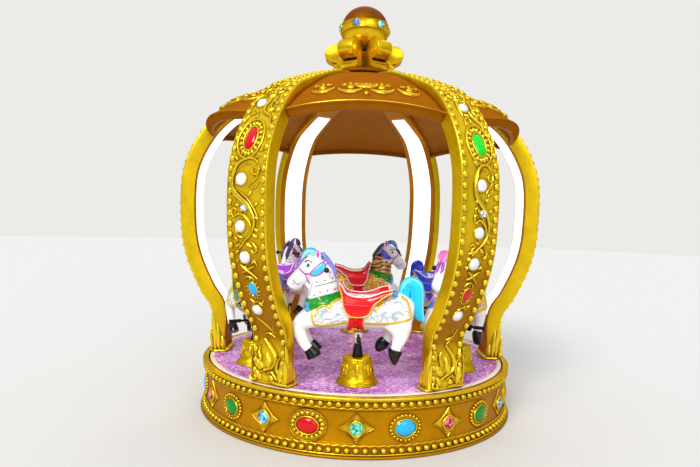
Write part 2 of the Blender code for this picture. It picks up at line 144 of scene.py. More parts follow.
class CAROUSEL_PG_ribs(bpy.types.PropertyGroup):
    bead_pitch: length_property("Bead pitch", "Distance between the beads along a rib", 0.066)
    pearl_radius: length_property("Pearl radius", "Radius of the largest white pearls", 0.040)
    face_colour: colour_property("Outer face", "Gold of a rib's outer face", "ECC61C")
    side_colour: colour_property("Sides", "Gold of a rib's smooth sides", "EFC81C")
    inner_colour: colour_property("Inner margins", "Brown gold beside the light strip", "C4841A")


class CAROUSEL_PG_roof(bpy.types.PropertyGroup):
    panel_colour: colour_property("Panel", "Brown gold of the roof panels", "A26010")
    scroll_size: length_property("Scroll size", "Half the width of one scroll on a roof panel", 0.066)


class CAROUSEL_PG_finial(bpy.types.PropertyGroup):
    strap_width: length_property("Strap half width", "Half the width of a scroll bracket", 0.064)
    ball_top_colour: colour_property("Ball, upper half", "Brown gold of the ball's upper half", "8A4E0A")
    ball_low_colour: colour_property("Ball, lower half", "Bright gold of the ball's lower half", "F4C81E")


class CAROUSEL_PG_seats(bpy.types.PropertyGroup):
    bell_colour: colour_property("Bell", "Gold of the bell pedestals", "EFCA18")
    post_colour: colour_property("Post", "Cream paint of the lifting posts", "E8E2D2")
    hoof_colour: colour_property("Hooves", "Black of the hooves and handles", "040405")


def feed(tree, node, inputs):
    """Give each named socket of a node its value or the output that drives it."""
    for key, value in inputs.items():
        if isinstance(value, bpy.types.NodeSocket):
            tree.links.new(value, node.inputs[key])
        else:
            node.inputs[key].default_value = value


def add_node(tree, kind, inputs=None, **settings):
    """Add one shader node with its settings and inputs."""
    node = tree.nodes.new("ShaderNode" + kind)
    for key, value in settings.items():
        setattr(node, key, value)
    feed(tree, node, inputs or {})
    return node


def finish(recipe):
    """Make a material from a recipe once for each name; the recipe returns the Principled shader's inputs."""
    def make(name, *values, **options):
        material = bpy.data.materials.get(name)
        if not material:
            material = bpy.data.materials.new(name)
            material.use_nodes = True
            tree = material.node_tree
            place = add_node(tree, "TexCoord").outputs["Object"]
            feed(tree, tree.nodes["Principled BSDF"], recipe(tree, place, *values, **options))
        return material
    return make


@finish
def gilded_fibreglass(tree, place, colour, glaze="4E2204", metallic=0.85, roughness=0.30, hollow=0.9, low=None,
                      specular=0.5):
    """Gold lacquer sprayed on a fibreglass moulding, with painted shade: a brown glaze colour laid into the hollows.
    """
    gold = toned(colour, 1.0)
    # Lacquer clouds about 90 mm across, as a hand-held gun leaves them
    clouds = add_node(tree, "TexNoise", {"Vector": place, "Scale": 11.0, "Detail": 3.0, "Roughness": 0.55})
    share = add_node(tree, "MapRange", {"Value": clouds.outputs["Fac"], "From Min": 0.35, "From Max": 0.72})
    body = add_node(tree, "Mix", {0: share.outputs[0], 6: toned(colour, 0.86), 7: gold}, data_type="RGBA")
    if low:
        # Painted shade: the lower half of the ribs is darker, as it faces down and away from the light
        height = add_node(tree, "SeparateXYZ", {"Vector": place}).outputs["Z"]
        upper = add_node(tree, "MapRange", {"Value": height, "From Min": 1.10, "From Max": 1.42, "To Min": 1.0,
                                            "To Max": 0.0})
        lower = add_node(tree, "MapRange", {"Value": height, "From Min": 0.58, "From Max": 0.68})
        depth = add_node(tree, "Math", {0: upper.outputs[0], 1: lower.outputs[0]}, operation="MULTIPLY")
        body = add_node(tree, "Mix", {0: depth.outputs[0], 6: body.outputs[2], 7: linear(low)}, data_type="RGBA")
    # Painted shade: the glaze colour darkens the hollows, where neighbouring faces are within 25 mm
    hollows = add_node(tree, "AmbientOcclusion", {"Distance": 0.025}, samples=6)
    hollow_shade_share = add_node(tree, "MapRange", {"Value": hollows.outputs["AO"], "From Min": 0.42, "From Max": 0.97,
                                       "To Min": hollow, "To Max": 0.0})
    coat = add_node(tree, "Mix", {0: hollow_shade_share.outputs[0], 6: body.outputs[2], 7: linear(glaze)}, data_type="RGBA")
    # Orange peel of sprayed lacquer, 3 mm across, drawn at 6 mm so that it shows
    peel = add_node(tree, "TexNoise", {"Vector": place, "Scale": 170.0, "Detail": 1.0})
    relief = add_node(tree, "Bump", {"Height": peel.outputs["Fac"], "Strength": 0.05, "Distance": 0.002})
    gloss = add_node(tree, "MapRange", {"Value": clouds.outputs["Fac"], "To Min": roughness - 0.05,
                                        "To Max": roughness + 0.10})
    # The tinted edge reflection keeps the lacquer golden at a flat angle
    return {"Base Color": coat.outputs[2], "Normal": relief.outputs[0], "Roughness": gloss.outputs[0],
            "Metallic": metallic, "Specular IOR Level": specular, "Specular Tint": gold}


@finish
def glitter_floor(tree, place, floor, flake):
    """Cast glitter vinyl: violet ground full of pale pearl flakes 8 mm across under a clear gloss."""
    flakes = add_node(tree, "TexVoronoi", {"Vector": place, "Scale": 75.0, "Randomness": 1.0})
    split = add_node(tree, "SeparateColor", {"Color": flakes.outputs["Color"]})
    drift = add_node(tree, "TexNoise", {"Vector": place, "Scale": 5.0, "Detail": 4.0, "Roughness": 0.6})
    both = add_node(tree, "Math", {0: split.outputs[0], 1: drift.outputs["Fac"]}, operation="ADD")
    share = add_node(tree, "MapRange", {"Value": both.outputs[0], "From Min": 1.04, "From Max": 1.42,
                                        "To Max": 0.85})
    patch = add_node(tree, "MapRange", {"Value": drift.outputs["Fac"], "From Min": 0.35, "From Max": 0.65})
    deep, pale = toned(floor, 0.62, 0.40, 0.66), (*(c + (1 - c) * 0.20 for c in floor), 1.0)
    ground = add_node(tree, "Mix", {0: patch.outputs[0], 6: deep, 7: pale}, data_type="RGBA")
    coat = add_node(tree, "Mix", {0: share.outputs[0], 6: ground.outputs[2], 7: toned(flake, 1.0)},
                    data_type="RGBA")
    tilt = add_node(tree, "Bump", {"Height": split.outputs[1], "Strength": 0.25, "Distance": 0.002})
    gloss = add_node(tree, "MapRange", {"Value": split.outputs[2], "To Min": 0.2, "To Max": 0.5})
    return {"Base Color": coat.outputs[2], "Normal": tilt.outputs[0], "Roughness": gloss.outputs[0],
            "Specular IOR Level": 0.25, "Coat Weight": 0.05, "Coat Roughness": 0.15}


@finish
def cast_resin_jewel(tree, place, code, cut=False):
    """Clear-coated cast resin stone; a cut one has painted glints, its faces painted in light and dark tones as
    light would catch them.
    """
    base = linear(code)
    # The lighter tone: a painted glint on a cut stone, a random paler colour on a smooth one
    light = (*(min(1.0, c * 1.5 + (0.20 if cut else 0.0)) for c in base[:3]), 1.0)
    if cut:
        # Painted glints: cut faces about 14 mm across, light and dark ones side by side
        cells = add_node(tree, "TexVoronoi", {"Vector": place, "Scale": 62.0})
        split = add_node(tree, "SeparateColor", {"Color": cells.outputs["Color"]})
        share = add_node(tree, "MapRange", {"Value": split.outputs[0], "From Min": 0.2, "From Max": 0.85})
    else:
        # Slow change of depth of colour over about 40 mm
        depth = add_node(tree, "TexNoise", {"Vector": place, "Scale": 24.0, "Detail": 1.0})
        share = add_node(tree, "MapRange", {"Value": depth.outputs["Fac"], "To Min": 0.0, "To Max": 0.35})
    low = toned(base, 0.35) if cut else base
    colour = add_node(tree, "Mix", {0: share.outputs[0], 6: low, 7: light}, data_type="RGBA")
    return {"Base Color": colour.outputs[2], "Roughness": 0.12, "Specular IOR Level": 0.25, "Coat Weight": 0.4,
            "Coat Roughness": 0.03}


@finish
def sprayed_gloss(tree, place, colour, variation=0.12, roughness=0.22, metallic=0.0):
    """Two-pack gloss paint on a moulding: even colour, faint clouds 60 mm across and a slight orange peel."""
    base = linear(colour) if isinstance(colour, str) else colour
    clouds = add_node(tree, "TexNoise", {"Vector": place, "Scale": 16.0, "Detail": 2.0})
    coat = add_node(tree, "Mix", {0: clouds.outputs["Fac"], 6: toned(base, 1 - variation),
                                  7: toned(base, 1 + variation)}, data_type="RGBA")
    peel = add_node(tree, "TexNoise", {"Vector": place, "Scale": 160.0, "Detail": 1.0})
    relief = add_node(tree, "Bump", {"Height": peel.outputs["Fac"], "Strength": 0.05, "Distance": 0.002})
    return {"Base Color": coat.outputs[2], "Normal": relief.outputs[0], "Roughness": roughness,
            "Metallic": metallic, "Specular IOR Level": 0.3, "Coat Weight": 0.3, "Coat Roughness": 0.06}


@finish
def frosted_acrylic(tree, place):
    """Opal acrylic over lamps: white, evenly lit, with soft bright spots 60 mm apart."""
    spots = add_node(tree, "TexVoronoi", {"Vector": place, "Scale": 16.0, "Randomness": 0.2})
    level = add_node(tree, "MapRange", {"Value": spots.outputs["Distance"], "To Min": 1.25, "To Max": 0.95})
    return {"Emission Strength": level.outputs[0], "Emission Color": linear("FFFFFF"),
            "Base Color": linear("F4F4F4"), "Roughness": 0.45}


@finish
def moulded_rubber(tree, place, code="0B0B0D"):
    """Black moulded rubber: dull, with a fine grain and paler rubbed patches."""
    rubbed = add_node(tree, "TexNoise", {"Vector": place, "Scale": 28.0, "Detail": 4.0})
    share = add_node(tree, "MapRange", {"Value": rubbed.outputs["Fac"], "From Min": 0.5, "From Max": 0.8,
                                        "To Max": 0.5})
    skin_colour = add_node(tree, "Mix", {0: share.outputs[0], 6: linear(code), 7: linear("17171A")},
                           data_type="RGBA")
    grain = add_node(tree, "TexNoise", {"Vector": place, "Scale": 420.0})
    relief = add_node(tree, "Bump", {"Height": grain.outputs["Fac"], "Strength": 0.15, "Distance": 0.001})
    return {"Base Color": skin_colour.outputs[2], "Normal": relief.outputs[0], "Roughness": 0.42,
            "Specular IOR Level": 0.25}


@finish
def primed_steel(tree, place):
    """Welded steel in grey primer, for what stays hidden inside the base."""
    mist = add_node(tree, "TexNoise", {"Vector": place, "Scale": 30.0, "Detail": 5.0})
    primer = add_node(tree, "Mix", {0: mist.outputs["Fac"], 6: linear("3A3D40"), 7: linear("55595D")},
                      data_type="RGBA")
    return {"Base Color": primer.outputs[2], "Roughness": 0.6}


@finish
def matt_paper(tree, place):
    """Seamless background paper: matt, with a fibre grain too fine to see from the camera."""
    fibre = add_node(tree, "TexNoise", {"Vector": place, "Scale": 90.0})
    sheet = add_node(tree, "Mix", {0: fibre.outputs["Fac"], 6: linear("D4D3D0"), 7: linear("DAD9D6")},
                     data_type="RGBA")
    return {"Base Color": sheet.outputs[2], "Roughness": 1.0, "Specular IOR Level": 0.0}


@finish
def tiger_paint(tree, place):
    """Hand-airbrushed tiger coat: gold ground with broken brown and black stripes 25 mm apart."""
    stripes = add_node(tree, "TexWave", {"Vector": place, "Scale": 9.0, "Distortion": 9.0, "Detail": 3.0},
                       bands_direction="Z")
    blots = add_node(tree, "TexNoise", {"Vector": place, "Scale": 38.0, "Detail": 3.0})
    both = add_node(tree, "Math", {0: stripes.outputs["Fac"], 1: blots.outputs["Fac"]}, operation="MULTIPLY")
    share = add_node(tree, "MapRange", {"Value": both.outputs[0], "From Min": 0.22, "From Max": 0.34})
    ground = add_node(tree, "Mix", {0: blots.outputs["Fac"], 6: linear("D9841A"), 7: linear("F2C648")},
                      data_type="RGBA")
    coat = add_node(tree, "Mix", {0: share.outputs[0], 6: ground.outputs[2], 7: linear("5A2208")}, data_type="RGBA")
    return {"Base Color": coat.outputs[2], "Roughness": 0.22, "Coat Weight": 0.6, "Coat Roughness": 0.06}


@finish
def glitter_enamel(tree, place, code, spark="FFFFFF", scale=190.0, share_low=0.62):
    """Gloss enamel with metal flake: small cells of lighter and darker tone and a flake tilt."""
    base = linear(code)
    flakes = add_node(tree, "TexVoronoi", {"Vector": place, "Scale": scale})
    split = add_node(tree, "SeparateColor", {"Color": flakes.outputs["Color"]})
    share = add_node(tree, "MapRange", {"Value": split.outputs[0], "From Min": share_low, "From Max": 1.0,
                                        "To Max": 0.8})
    ground = add_node(tree, "Mix", {0: split.outputs[1], 6: toned(base, 0.72), 7: base}, data_type="RGBA")
    coat = add_node(tree, "Mix", {0: share.outputs[0], 6: ground.outputs[2], 7: linear(spark)}, data_type="RGBA")
    tilt = add_node(tree, "Bump", {"Height": split.outputs[2], "Strength": 0.35, "Distance": 0.002})
    return {"Base Color": coat.outputs[2], "Normal": tilt.outputs[0], "Roughness": 0.3,
            "Specular IOR Level": 0.3, "Coat Weight": 0.25, "Coat Roughness": 0.08}


@finish
def quilted_enamel(tree, place, code):
    """Gloss enamel over a blanket moulded with cloud-like swirls 30 mm across."""
    swirl = add_node(tree, "TexWave", {"Vector": place, "Scale": 9.0, "Distortion": 14.0, "Detail": 1.0,
                                       "Detail Scale": 1.6}, wave_type="RINGS", rings_direction="Y").outputs["Fac"]
    # Painted shade: the grooves between the swirls are darkened to a cooler grey
    groove = add_node(tree, "MapRange", {"Value": swirl, "From Min": 0.0, "From Max": 0.35, "To Min": 0.9,
                                         "To Max": 0.0})
    shade = toned(linear(code), 0.38, 0.50, 0.56)
    coat = add_node(tree, "Mix", {0: groove.outputs[0], 6: linear(code), 7: shade}, data_type="RGBA")
    relief = add_node(tree, "Bump", {"Height": swirl, "Strength": 0.55, "Distance": 0.004})
    return {"Base Color": coat.outputs[2], "Normal": relief.outputs[0], "Roughness": 0.2, "Coat Weight": 0.6,
            "Coat Roughness": 0.06}


def heading(points, i):
    """Step from the point before to the point after point i of a line."""
    return points[min(i + 1, len(points) - 1)] - points[max(i - 1, 0)]


def smooth_line(points, steps):
    """Points of a smooth curve through the given points, with steps to each span."""
    made = []
    last = len(points) - 1
    for i in range(last):
        before, start, end, after = (Vector(points[min(max(k, 0), last)]) for k in range(i - 1, i + 3))
        for k in range(steps):
            t = k / steps
            made.append(0.5 * (2 * start + (end - before) * t + (2 * before - 5 * start + 4 * end - after) * t * t
                               + (3 * start - before - 3 * end + after) * t * t * t))
    made.append(Vector(points[-1]))
    return made


def turns(count, first=0.5):
    """Angles of count places spread evenly round a circle."""
    return [TURN * (k + first) / count for k in range(count)]


def mirrored(half):
    """The other half of a section, in the order that goes on from this one."""
    return [(-x, z) for x, z in reversed(half)]


def pour(bm, piece, seat=None, material=None):
    """Add one bmesh to another, each corner put on its surface by seat and each face given its material."""
    if seat:
        for vert in piece.verts:
            vert.co = seat(vert.co)
    if material is not None:
        for face in piece.faces:
            face.material_index = material
    mesh = bpy.data.meshes.new("poured")
    piece.to_mesh(mesh)
    piece.free()
    bm.from_mesh(mesh)
    bpy.data.meshes.remove(mesh)


def skin(bm, sides, stations, place, caps=True, material=0):
    """A tube of sides by stations cells, each corner put by place(i, j), with its open ends filled."""
    piece = bmesh.new()
    bmesh.ops.create_grid(piece, x_segments=sides, y_segments=stations, size=0.5)
    for vert in piece.verts:
        i = round((vert.co.x + 0.5) * sides)
        j = round((vert.co.y + 0.5) * stations)
        vert.co = place(i % sides, j)
    bmesh.ops.remove_doubles(piece, verts=piece.verts, dist=1e-6)
    bmesh.ops.dissolve_degenerate(piece, dist=1e-7, edges=piece.edges)
    ends = [edge for edge in piece.edges if edge.is_boundary]
    if caps and ends:
        bmesh.ops.holes_fill(piece, edges=ends, sides=0)
    bmesh.ops.recalc_face_normals(piece, faces=piece.faces)
    pour(bm, piece, material=material)


def lathe(bm, profile, steps, material=0, closed=True):
    """Turn a line of radius and height about the upright axis."""
    piece = bmesh.new()
    verts = [piece.verts.new((radius, 0, height)) for radius, height in profile]
    pairs = list(zip(verts, verts[1:]))
    if closed:
        pairs.append((verts[-1], verts[0]))
    edges = [piece.edges.new(pair) for pair in pairs if max(v.co.x for v in pair) > 1e-6]
    bmesh.ops.spin(piece, geom=verts + edges, cent=(0, 0, 0), axis=(0, 0, 1), angle=TURN, steps=steps,
                   use_merge=True)
    bmesh.ops.remove_doubles(piece, verts=piece.verts, dist=1e-6)
    bmesh.ops.recalc_face_normals(piece, faces=piece.faces)
    pour(bm, piece, material=material)


def boss(bm, outline, profile, seat, sides=24, material=0):
    """A raised shape: profile holds shares of the outline and heights, from the back's middle to the front's."""
    def place(i, j):
        share, height = profile[j]
        x, y = outline(TURN * i / sides)
        return seat(Vector((x * share, y * share, height)))
    skin(bm, sides, len(profile) - 1, place, material=material)


def rim(bm, outline, section, seat, sides=32, material=0):
    """A closed frame: section holds (outward offset, height) round the frame's wall."""
    def place(i, j):
        turn = TURN * i / sides
        x, y = outline(turn)
        along = (Vector(outline(turn + 0.05)) - Vector(outline(turn - 0.05))).normalized()
        offset, height = section[j % len(section)]
        return seat(Vector((x + along.y * offset, y - along.x * offset, height)))
    skin(bm, sides, len(section), place, caps=False, material=material)


def ring(wide, high=None, power=1.0):
    """Outline of an ellipse or circle; a power above 1 draws its sides in to a star, one below 1 squares it."""
    def outline(turn):
        c, s = math.cos(turn), math.sin(turn)
        return (math.copysign(wide * abs(c) ** power, c), math.copysign((high or wide) * abs(s) ** power, s))
    return outline


def loop_outline(points):
    """Outline that follows a smooth loop through the points, with its middle at the origin of the points."""
    closed = smooth_line([*points, points[0]], 3)[:-1]

    def outline(turn):
        where = turn / TURN * len(closed)
        return closed[int(where) % len(closed)].lerp(closed[(int(where) + 1) % len(closed)], where % 1)
    return outline


def half_round(width, height, parts=5):
    """Section of a half-round bead of a frame, from its inner foot over the top to its outer foot."""
    over = [math.pi * (1 - k / parts) for k in range(parts + 1)]
    return [(-width, -0.003), *((width * math.cos(t), height * math.sin(t)) for t in over), (width, -0.003)]


def cabochon(height, sink=0.004, rings=5):
    """Profile of a domed stone with a flat hidden back."""
    over = [math.pi / 2 * k / rings for k in range(rings + 1)]
    return [(0.0, -sink), (1.0, -sink), *((math.cos(t), height * math.sin(t)) for t in over)]


def cut_stone(height, sink=0.004):
    """Profile of a brilliant: girdle, crown and table."""
    return [(0.0, -sink), (1.0, -sink), (1.0, height * 0.30), (0.62, height), (0.0, height)]


def stem(bm, points, radii, seat, sides=6, flat=1.0, material=0):
    """A half-sunk tube drawn on a surface, with one half width for all points or one for each."""
    if isinstance(radii, float):
        radii = [radii] * len(points)

    def place(i, j):
        here = points[j]
        along = heading(points, j).normalized()
        turn = TURN * (i + 0.5) / sides
        out = radii[j] * math.cos(turn)
        return seat(Vector((here.x + along.y * out, here.y - along.x * out, radii[j] * flat * math.sin(turn))))
    skin(bm, sides, len(points) - 1, place, material=material)


def tapered(line, thick, start=0.35, end=0.35, peak=0.4):
    """Half widths for a line, which swell from start to a peak and thin out again."""
    values = []
    for k in range(len(line)):
        t = k / (len(line) - 1)
        share = start + (1 - start) * (t / peak) if t < peak else 1 + (end - 1) * ((t - peak) / (1 - peak))
        values.append(thick * share)
    return values


def curl(x, y, radius, turn_count, hand):
    """Points of a curl that starts below (x, y) and winds inwards; hand -1 mirrors it."""
    made = []
    for k in range(17):
        t = k / 16
        turn = -math.pi / 2 + TURN * turn_count * t
        reach = radius * (1 - 0.78 * t)
        made.append(Vector((hand * (x + reach * math.cos(turn)), y + reach * math.sin(turn))))
    return made


def leaf(bm, base, tip, width, seat, height=0.012, material=0, bend=0.0):
    """A pointed leaf with a raised middle, drawn from base to tip."""
    start, end = Vector(base), Vector(tip)
    along = end - start
    side = Vector((-along.y, along.x)).normalized()
    sides, stations = 8, 7

    def place(i, j):
        t = j / stations
        swell = math.sin(math.pi * min(1.0, 0.12 + 0.88 * t)) ** 0.8 if t < 1 else 0.0
        turn = TURN * i / sides
        middle = start + along * t + side * bend * math.sin(math.pi * t)
        out = width * swell * math.cos(turn)
        lift = height * swell * max(math.sin(turn), -0.35)
        groove = 1 - 0.35 * abs(math.cos(turn)) ** 2
        return seat(Vector((middle.x + side.x * out, middle.y + side.y * out, lift * groove)))
    skin(bm, sides, stations, place, material=material)


def add_beads(bm, radius, height, places, seat_for, sides=8, rings=3):
    """One domed bead for each place; seat_for(place) gives the function that seats it."""
    bead = bmesh.new()
    boss(bead, ring(radius), cabochon(height, sink=0.003, rings=rings), lambda co: co, sides=sides)
    mesh = bpy.data.meshes.new("bead")
    bead.to_mesh(mesh)
    bead.free()
    for place in places:
        piece = bmesh.new()
        piece.from_mesh(mesh)
        pour(bm, piece, seat_for(place))
    bpy.data.meshes.remove(mesh)


def turned(angle, shift=(0, 0, 0)):
    """Matrix that moves a piece drawn towards +X and turns it to its place about the axis."""
    return Matrix.Rotation(angle, 4, "Z") @ Matrix.Translation(shift)


def make_piece(bm, name, body, finishes, replaces=(), matrix=None, sharp=None):
    """Turn a bmesh into one finished piece that rides on a body."""
    bmesh.ops.remove_doubles(bm, verts=bm.verts, dist=1e-6)
    if matrix:
        bmesh.ops.transform(bm, matrix=matrix, verts=bm.verts)
    mesh = bpy.data.meshes.new(name)
    bm.to_mesh(mesh)
    bm.free()
    mesh.polygons.foreach_set("use_smooth", [True] * len(mesh.polygons))
    if sharp:
        mesh.set_sharp_from_angle(angle=math.radians(sharp))
    piece = bpy.data.objects.new(name, mesh)
    bpy.context.scene.collection.objects.link(piece)
    for material in finishes:
        mesh.materials.append(material)
    if replaces:
        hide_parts(*replaces)
    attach(piece, body)
    return piece


def moved(seat, x=0.0, y=0.0, lift=0.0):
    """The same seat for a shape that is drawn about (x, y) and raised by lift."""
    return lambda co: seat(co + Vector((x, y, lift)))


def on_drum(angle, radius, height):
    """Seat on the round base: x goes round, y up and the height outwards."""
    def seat(co):
        turn = angle + co.x / radius
        reach = radius + co.z
        return Vector((reach * math.cos(turn), reach * math.sin(turn), height + co.y))
    return seat


# Colours of the cast stones; those whose names end in _stone are cut, the others are smooth
JEWELS = dict(
    mint_stone="28C8A0", pale_blue_stone="3AA8EE", ruby_stone="C01020", ice_blue_stone="BFE4F2",
    sky_blue_stone="0A6CE0", aqua_stone="2ED8C8", clear_stone="DDE9EA", pearl="DCDCDE", green_cabochon="0A7A12",
    bright_green_cabochon="08CC24", ruby_cabochon="C00006", turquoise_cabochon="18A8E4",
)


def jewels(*names):
    return [cast_resin_jewel("cast_resin_" + name, JEWELS[name], name.endswith("_stone")) for name in names]


# Profiles of the base as radius and height, up the wall and over the lip
SKIRT_WALL = metres((
    (1132, 1), (1192, 1), (1199, 5), (1199.5, 12), (1196, 17), (1184, 20), (1174, 24), (1168, 30), (1167, 60),
    (1170, 68), (1166, 77), (1158, 81), (1155, 87), (1154, 190), (1155, 282), (1160, 286), (1168, 290), (1171, 297),
    (1168, 304), (1167, 312), (1167, 344),
))
SKIRT_LIP = (
    *metres((
        (1167, 344), (1172, 349), (1182, 351), (1189, 355), (1190.5, 362), (1188, 369),
    )),
    (1.182, SKIRT_TOP), (1.160, SKIRT_TOP - 0.002), (1.148, SKIRT_TOP - 0.003),
    (1.147, 0.322), (1.132, 0.318), (1.132, 0.001),
)
# Radii at which the jewels and the bead rows sit, and cells round the base
JEWEL_RADIUS = 1.155
BEAD_ROW_RADIUS = 1.169
SKIRT_STEPS = 240


class CAROUSEL_OT_base(bpy.types.Operator):
    """Build the jewelled base: wall, mouldings, bead rows, stars, ovals and stones"""
    bl_idname = "carousel.base"
    bl_label = "Jewelled base"

    def execute(self, context):
        sizes = context.scene.carousel_base
        # Painted shade on the darker wall gold and painted highlights on the lighter relief gold
        wall_gold = gilded_fibreglass("gold_glazed_fibreglass_wall", sizes.wall_colour, metallic=0.5,
                                      roughness=0.42, hollow=0.8)
        bright = gilded_fibreglass("gold_lacquered_fibreglass_relief", sizes.relief_colour, glaze="6A3206",
                                   roughness=0.26)
        wall = bmesh.new()
        lathe(wall, SKIRT_WALL, SKIRT_STEPS, closed=False)
        lathe(wall, SKIRT_LIP, SKIRT_STEPS, material=1, closed=False)
        bmesh.ops.remove_doubles(wall, verts=wall.verts, dist=1e-6)
        bmesh.ops.recalc_face_normals(wall, faces=wall.faces)
        make_piece(wall, "skirt_wall", "base", [wall_gold, bright], replaces=["base_skirt"],
                   sharp=50)
        rows = bmesh.new()
        count, radius = sizes.bead_count, sizes.bead_radius
        for height, edge in ((0.3270, -1), (0.0450, 1)):
            places = turns(count, 0)
            add_beads(rows, radius, radius * 0.95, places, lambda angle: on_drum(angle, BEAD_ROW_RADIUS, height))

            # The beads sit in a scalloped cord that shows on the wall's side of the row
            def scallop(i, j):
                reach = radius + 0.003 + 0.008 * math.cos(math.pi * i / 6) ** 2
                turn = TURN * j / 6
                seat = on_drum(TURN * i / (6 * count), BEAD_ROW_RADIUS - 0.005, height)
                return seat(Vector((0, edge * (reach + 0.0055 * math.cos(turn)), 0.0075 * math.sin(turn))))
            skin(rows, 6 * count, 6, scallop, caps=False)
        lathe(rows, [(1.176, 0.347), (1.181, 0.345), (1.186, 0.349), (1.181, 0.353)], SKIRT_STEPS)
        lathe(rows, [(1.178, 0.028), (1.186, 0.022), (1.192, 0.024), (1.184, 0.031)], SKIRT_STEPS)
        make_piece(rows, "skirt_bead_rows", "base", [bright])
        settings, stones = bmesh.new(), bmesh.new()
        for k in range(12):
            seat = on_drum(math.radians(-90 + 30 * k), JEWEL_RADIUS, sizes.jewel_height)
            raised = moved(seat, lift=0.012)
            plate = [(0, -0.006), (1.0, -0.006), (1.0, 0.004), (0.62, 0.010), (0, 0.010)]
            boss(settings, ring(0.112, 0.098, 2.5), plate, seat, sides=48)
            # A thin ridge follows the star's drawn-in edge
            ridge = half_round(0.0055, 0.0105, parts=4)
            rim(settings, ring(0.96 * 0.112, 0.96 * 0.098, 2.5), ridge, seat, sides=64)
            rim(settings, ring(0.046, 0.048, 1.25), half_round(0.0075, 0.010), raised, sides=28)
            boss(settings, ring(0.045, 0.047, 1.25), [(0, 0), (1, 0), (1, 0.012), (0, 0.012)], seat, sides=20)
            boss(stones, ring(0.039, 0.041, 1.15), cut_stone(0.018), raised, sides=12, material=(0, 2, 1)[k % 3])
        plate = [(0, -0.006), (1.0, -0.006), (1.0, 0.003), (0.9, 0.006), (0, 0.006)]
        for k in range(12):
            seat = on_drum(math.radians(-75 + 30 * k), JEWEL_RADIUS, sizes.jewel_height)
            raised = moved(seat, lift=0.005)
            if k % 3 == 2:
                wide, high = 0.068, 0.050
                boss(settings, ring(0.120, 0.097), plate, seat, sides=48)
                rim(settings, ring(0.1195, 0.0965), half_round(0.0060, 0.011, parts=4), seat, sides=52)
                rim(settings, ring(0.073, 0.055), half_round(0.0065, 0.015), raised, sides=48)
                for turn in turns(18):
                    leaf(settings, ring(0.078, 0.060)(turn), ring(0.118, 0.094)(turn), 0.0150, raised, height=0.013)
            else:
                wide, high = 0.065, 0.051
                boss(settings, ring(0.097, 0.080), plate, seat, sides=40)
                rim(settings, ring(0.069, 0.055), half_round(0.006, 0.013), raised, sides=44)
                spots = [ring(0.093, 0.077)(turn) for turn in turns(22)]
                add_beads(settings, 0.0108, 0.0115, spots, lambda spot: moved(seat, *spot, 0.004))
            boss(stones, ring(wide, high), cabochon(0.022, rings=6), moved(seat, lift=0.006), sides=36,
                 material=(5, 3, 4)[k % 3])
        make_piece(settings, "skirt_jewel_settings", "base", [bright], sharp=60)
        finishes = jewels("mint_stone", "pale_blue_stone", "ruby_stone", "green_cabochon", "ruby_cabochon",
                          "turquoise_cabochon")
        make_piece(stones, "skirt_stones", "base", finishes, sharp=25)
        for node in ("base_plate", "centre_bearing"):
            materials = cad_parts[node].data.materials
            materials.clear()
            materials.append(primed_steel("grey_primed_steel"))
        return {"FINISHED"}


class CAROUSEL_OT_deck(bpy.types.Operator):
    """Build the turning deck: glitter floor, pale edge band and its dished underside"""
    bl_idname = "carousel.deck"
    bl_label = "Turning deck"

    def execute(self, context):
        colours = context.scene.carousel_deck
        floor = glitter_floor("lilac_glitter_vinyl", colours.floor_colour, colours.flake_colour)
        edge = sprayed_gloss("cream_vinyl_edge", "F2E6D8", variation=0.08)
        steel = primed_steel("grey_primed_steel")
        deck = bmesh.new()
        top, under, foot = DECK_TOP, DECK_TOP - 0.0045, DECK_TOP - 0.040
        for material, profile in enumerate((
            [(0.0, top), (0.3, top), (0.7, top), (1.104, top), (1.104, top - 0.004), (0.0, top - 0.004)],
            [(1.1045, top - 0.004), (1.1045, top), (1.126, top), (1.135, top - 0.001), (1.137, top - 0.004)],
            [(0.0, under), (1.1375, under), (1.1375, foot), (0.250, foot), (0.220, 0.200), (0.061, 0.200),
             (0.061, 0.324), (0.0, 0.324)],
        )):
            lathe(deck, profile, 180, material=material)
        make_piece(deck, "deck_floor", "turntable", [floor, edge, steel],
                   replaces=["turntable_deck"], sharp=40)
        return {"FINISHED"}


def line_table(points):
    """Lengths along a line, its points and the unit vector out of its outer side."""
    lengths = [0.0]
    for a, b in zip(points, points[1:]):
        lengths.append(lengths[-1] + (b - a).length)
    steps = [heading(points, i).normalized() for i in range(len(points))]
    return lengths, points, [Vector((step.y, -step.x)) for step in steps]


RIB_TABLE = line_table(smooth_line(RIB_LINE, 5))
RIB_LENGTH = RIB_TABLE[0][-1]
ROOF_TABLE = line_table(smooth_line(ROOF_LINE, 4))


def span_at(lengths, length):
    """Span of a line in which a length along it falls, and the share of that span."""
    i = 0
    while i < len(lengths) - 2 and lengths[i + 1] < length:
        i += 1
    return i, (length - lengths[i]) / max(1e-9, lengths[i + 1] - lengths[i])


def along_line(table, length):
    """Point and outward direction at a length along the line."""
    lengths, points, outs = table
    i, share = span_at(lengths, min(max(length, 0.0), lengths[-1]))
    return points[i].lerp(points[i + 1], share), outs[i].lerp(outs[i + 1], share).normalized()


def rib_length_at(height):
    """Length along a rib's line at which it reaches a height."""
    lengths, points, _ = RIB_TABLE
    for i in range(len(points) - 1):
        if points[i].y <= height <= points[i + 1].y:
            share = (height - points[i].y) / max(1e-9, points[i + 1].y - points[i].y)
            return lengths[i] + share * (lengths[i + 1] - lengths[i])
    return lengths[-1]


def rib_point(length, x, reach):
    """Point of a rib: x across it and reach out of its line at a length along it."""
    point, out = along_line(RIB_TABLE, length)
    return Vector((point.x + out.x * reach, x, point.y + out.y * reach))


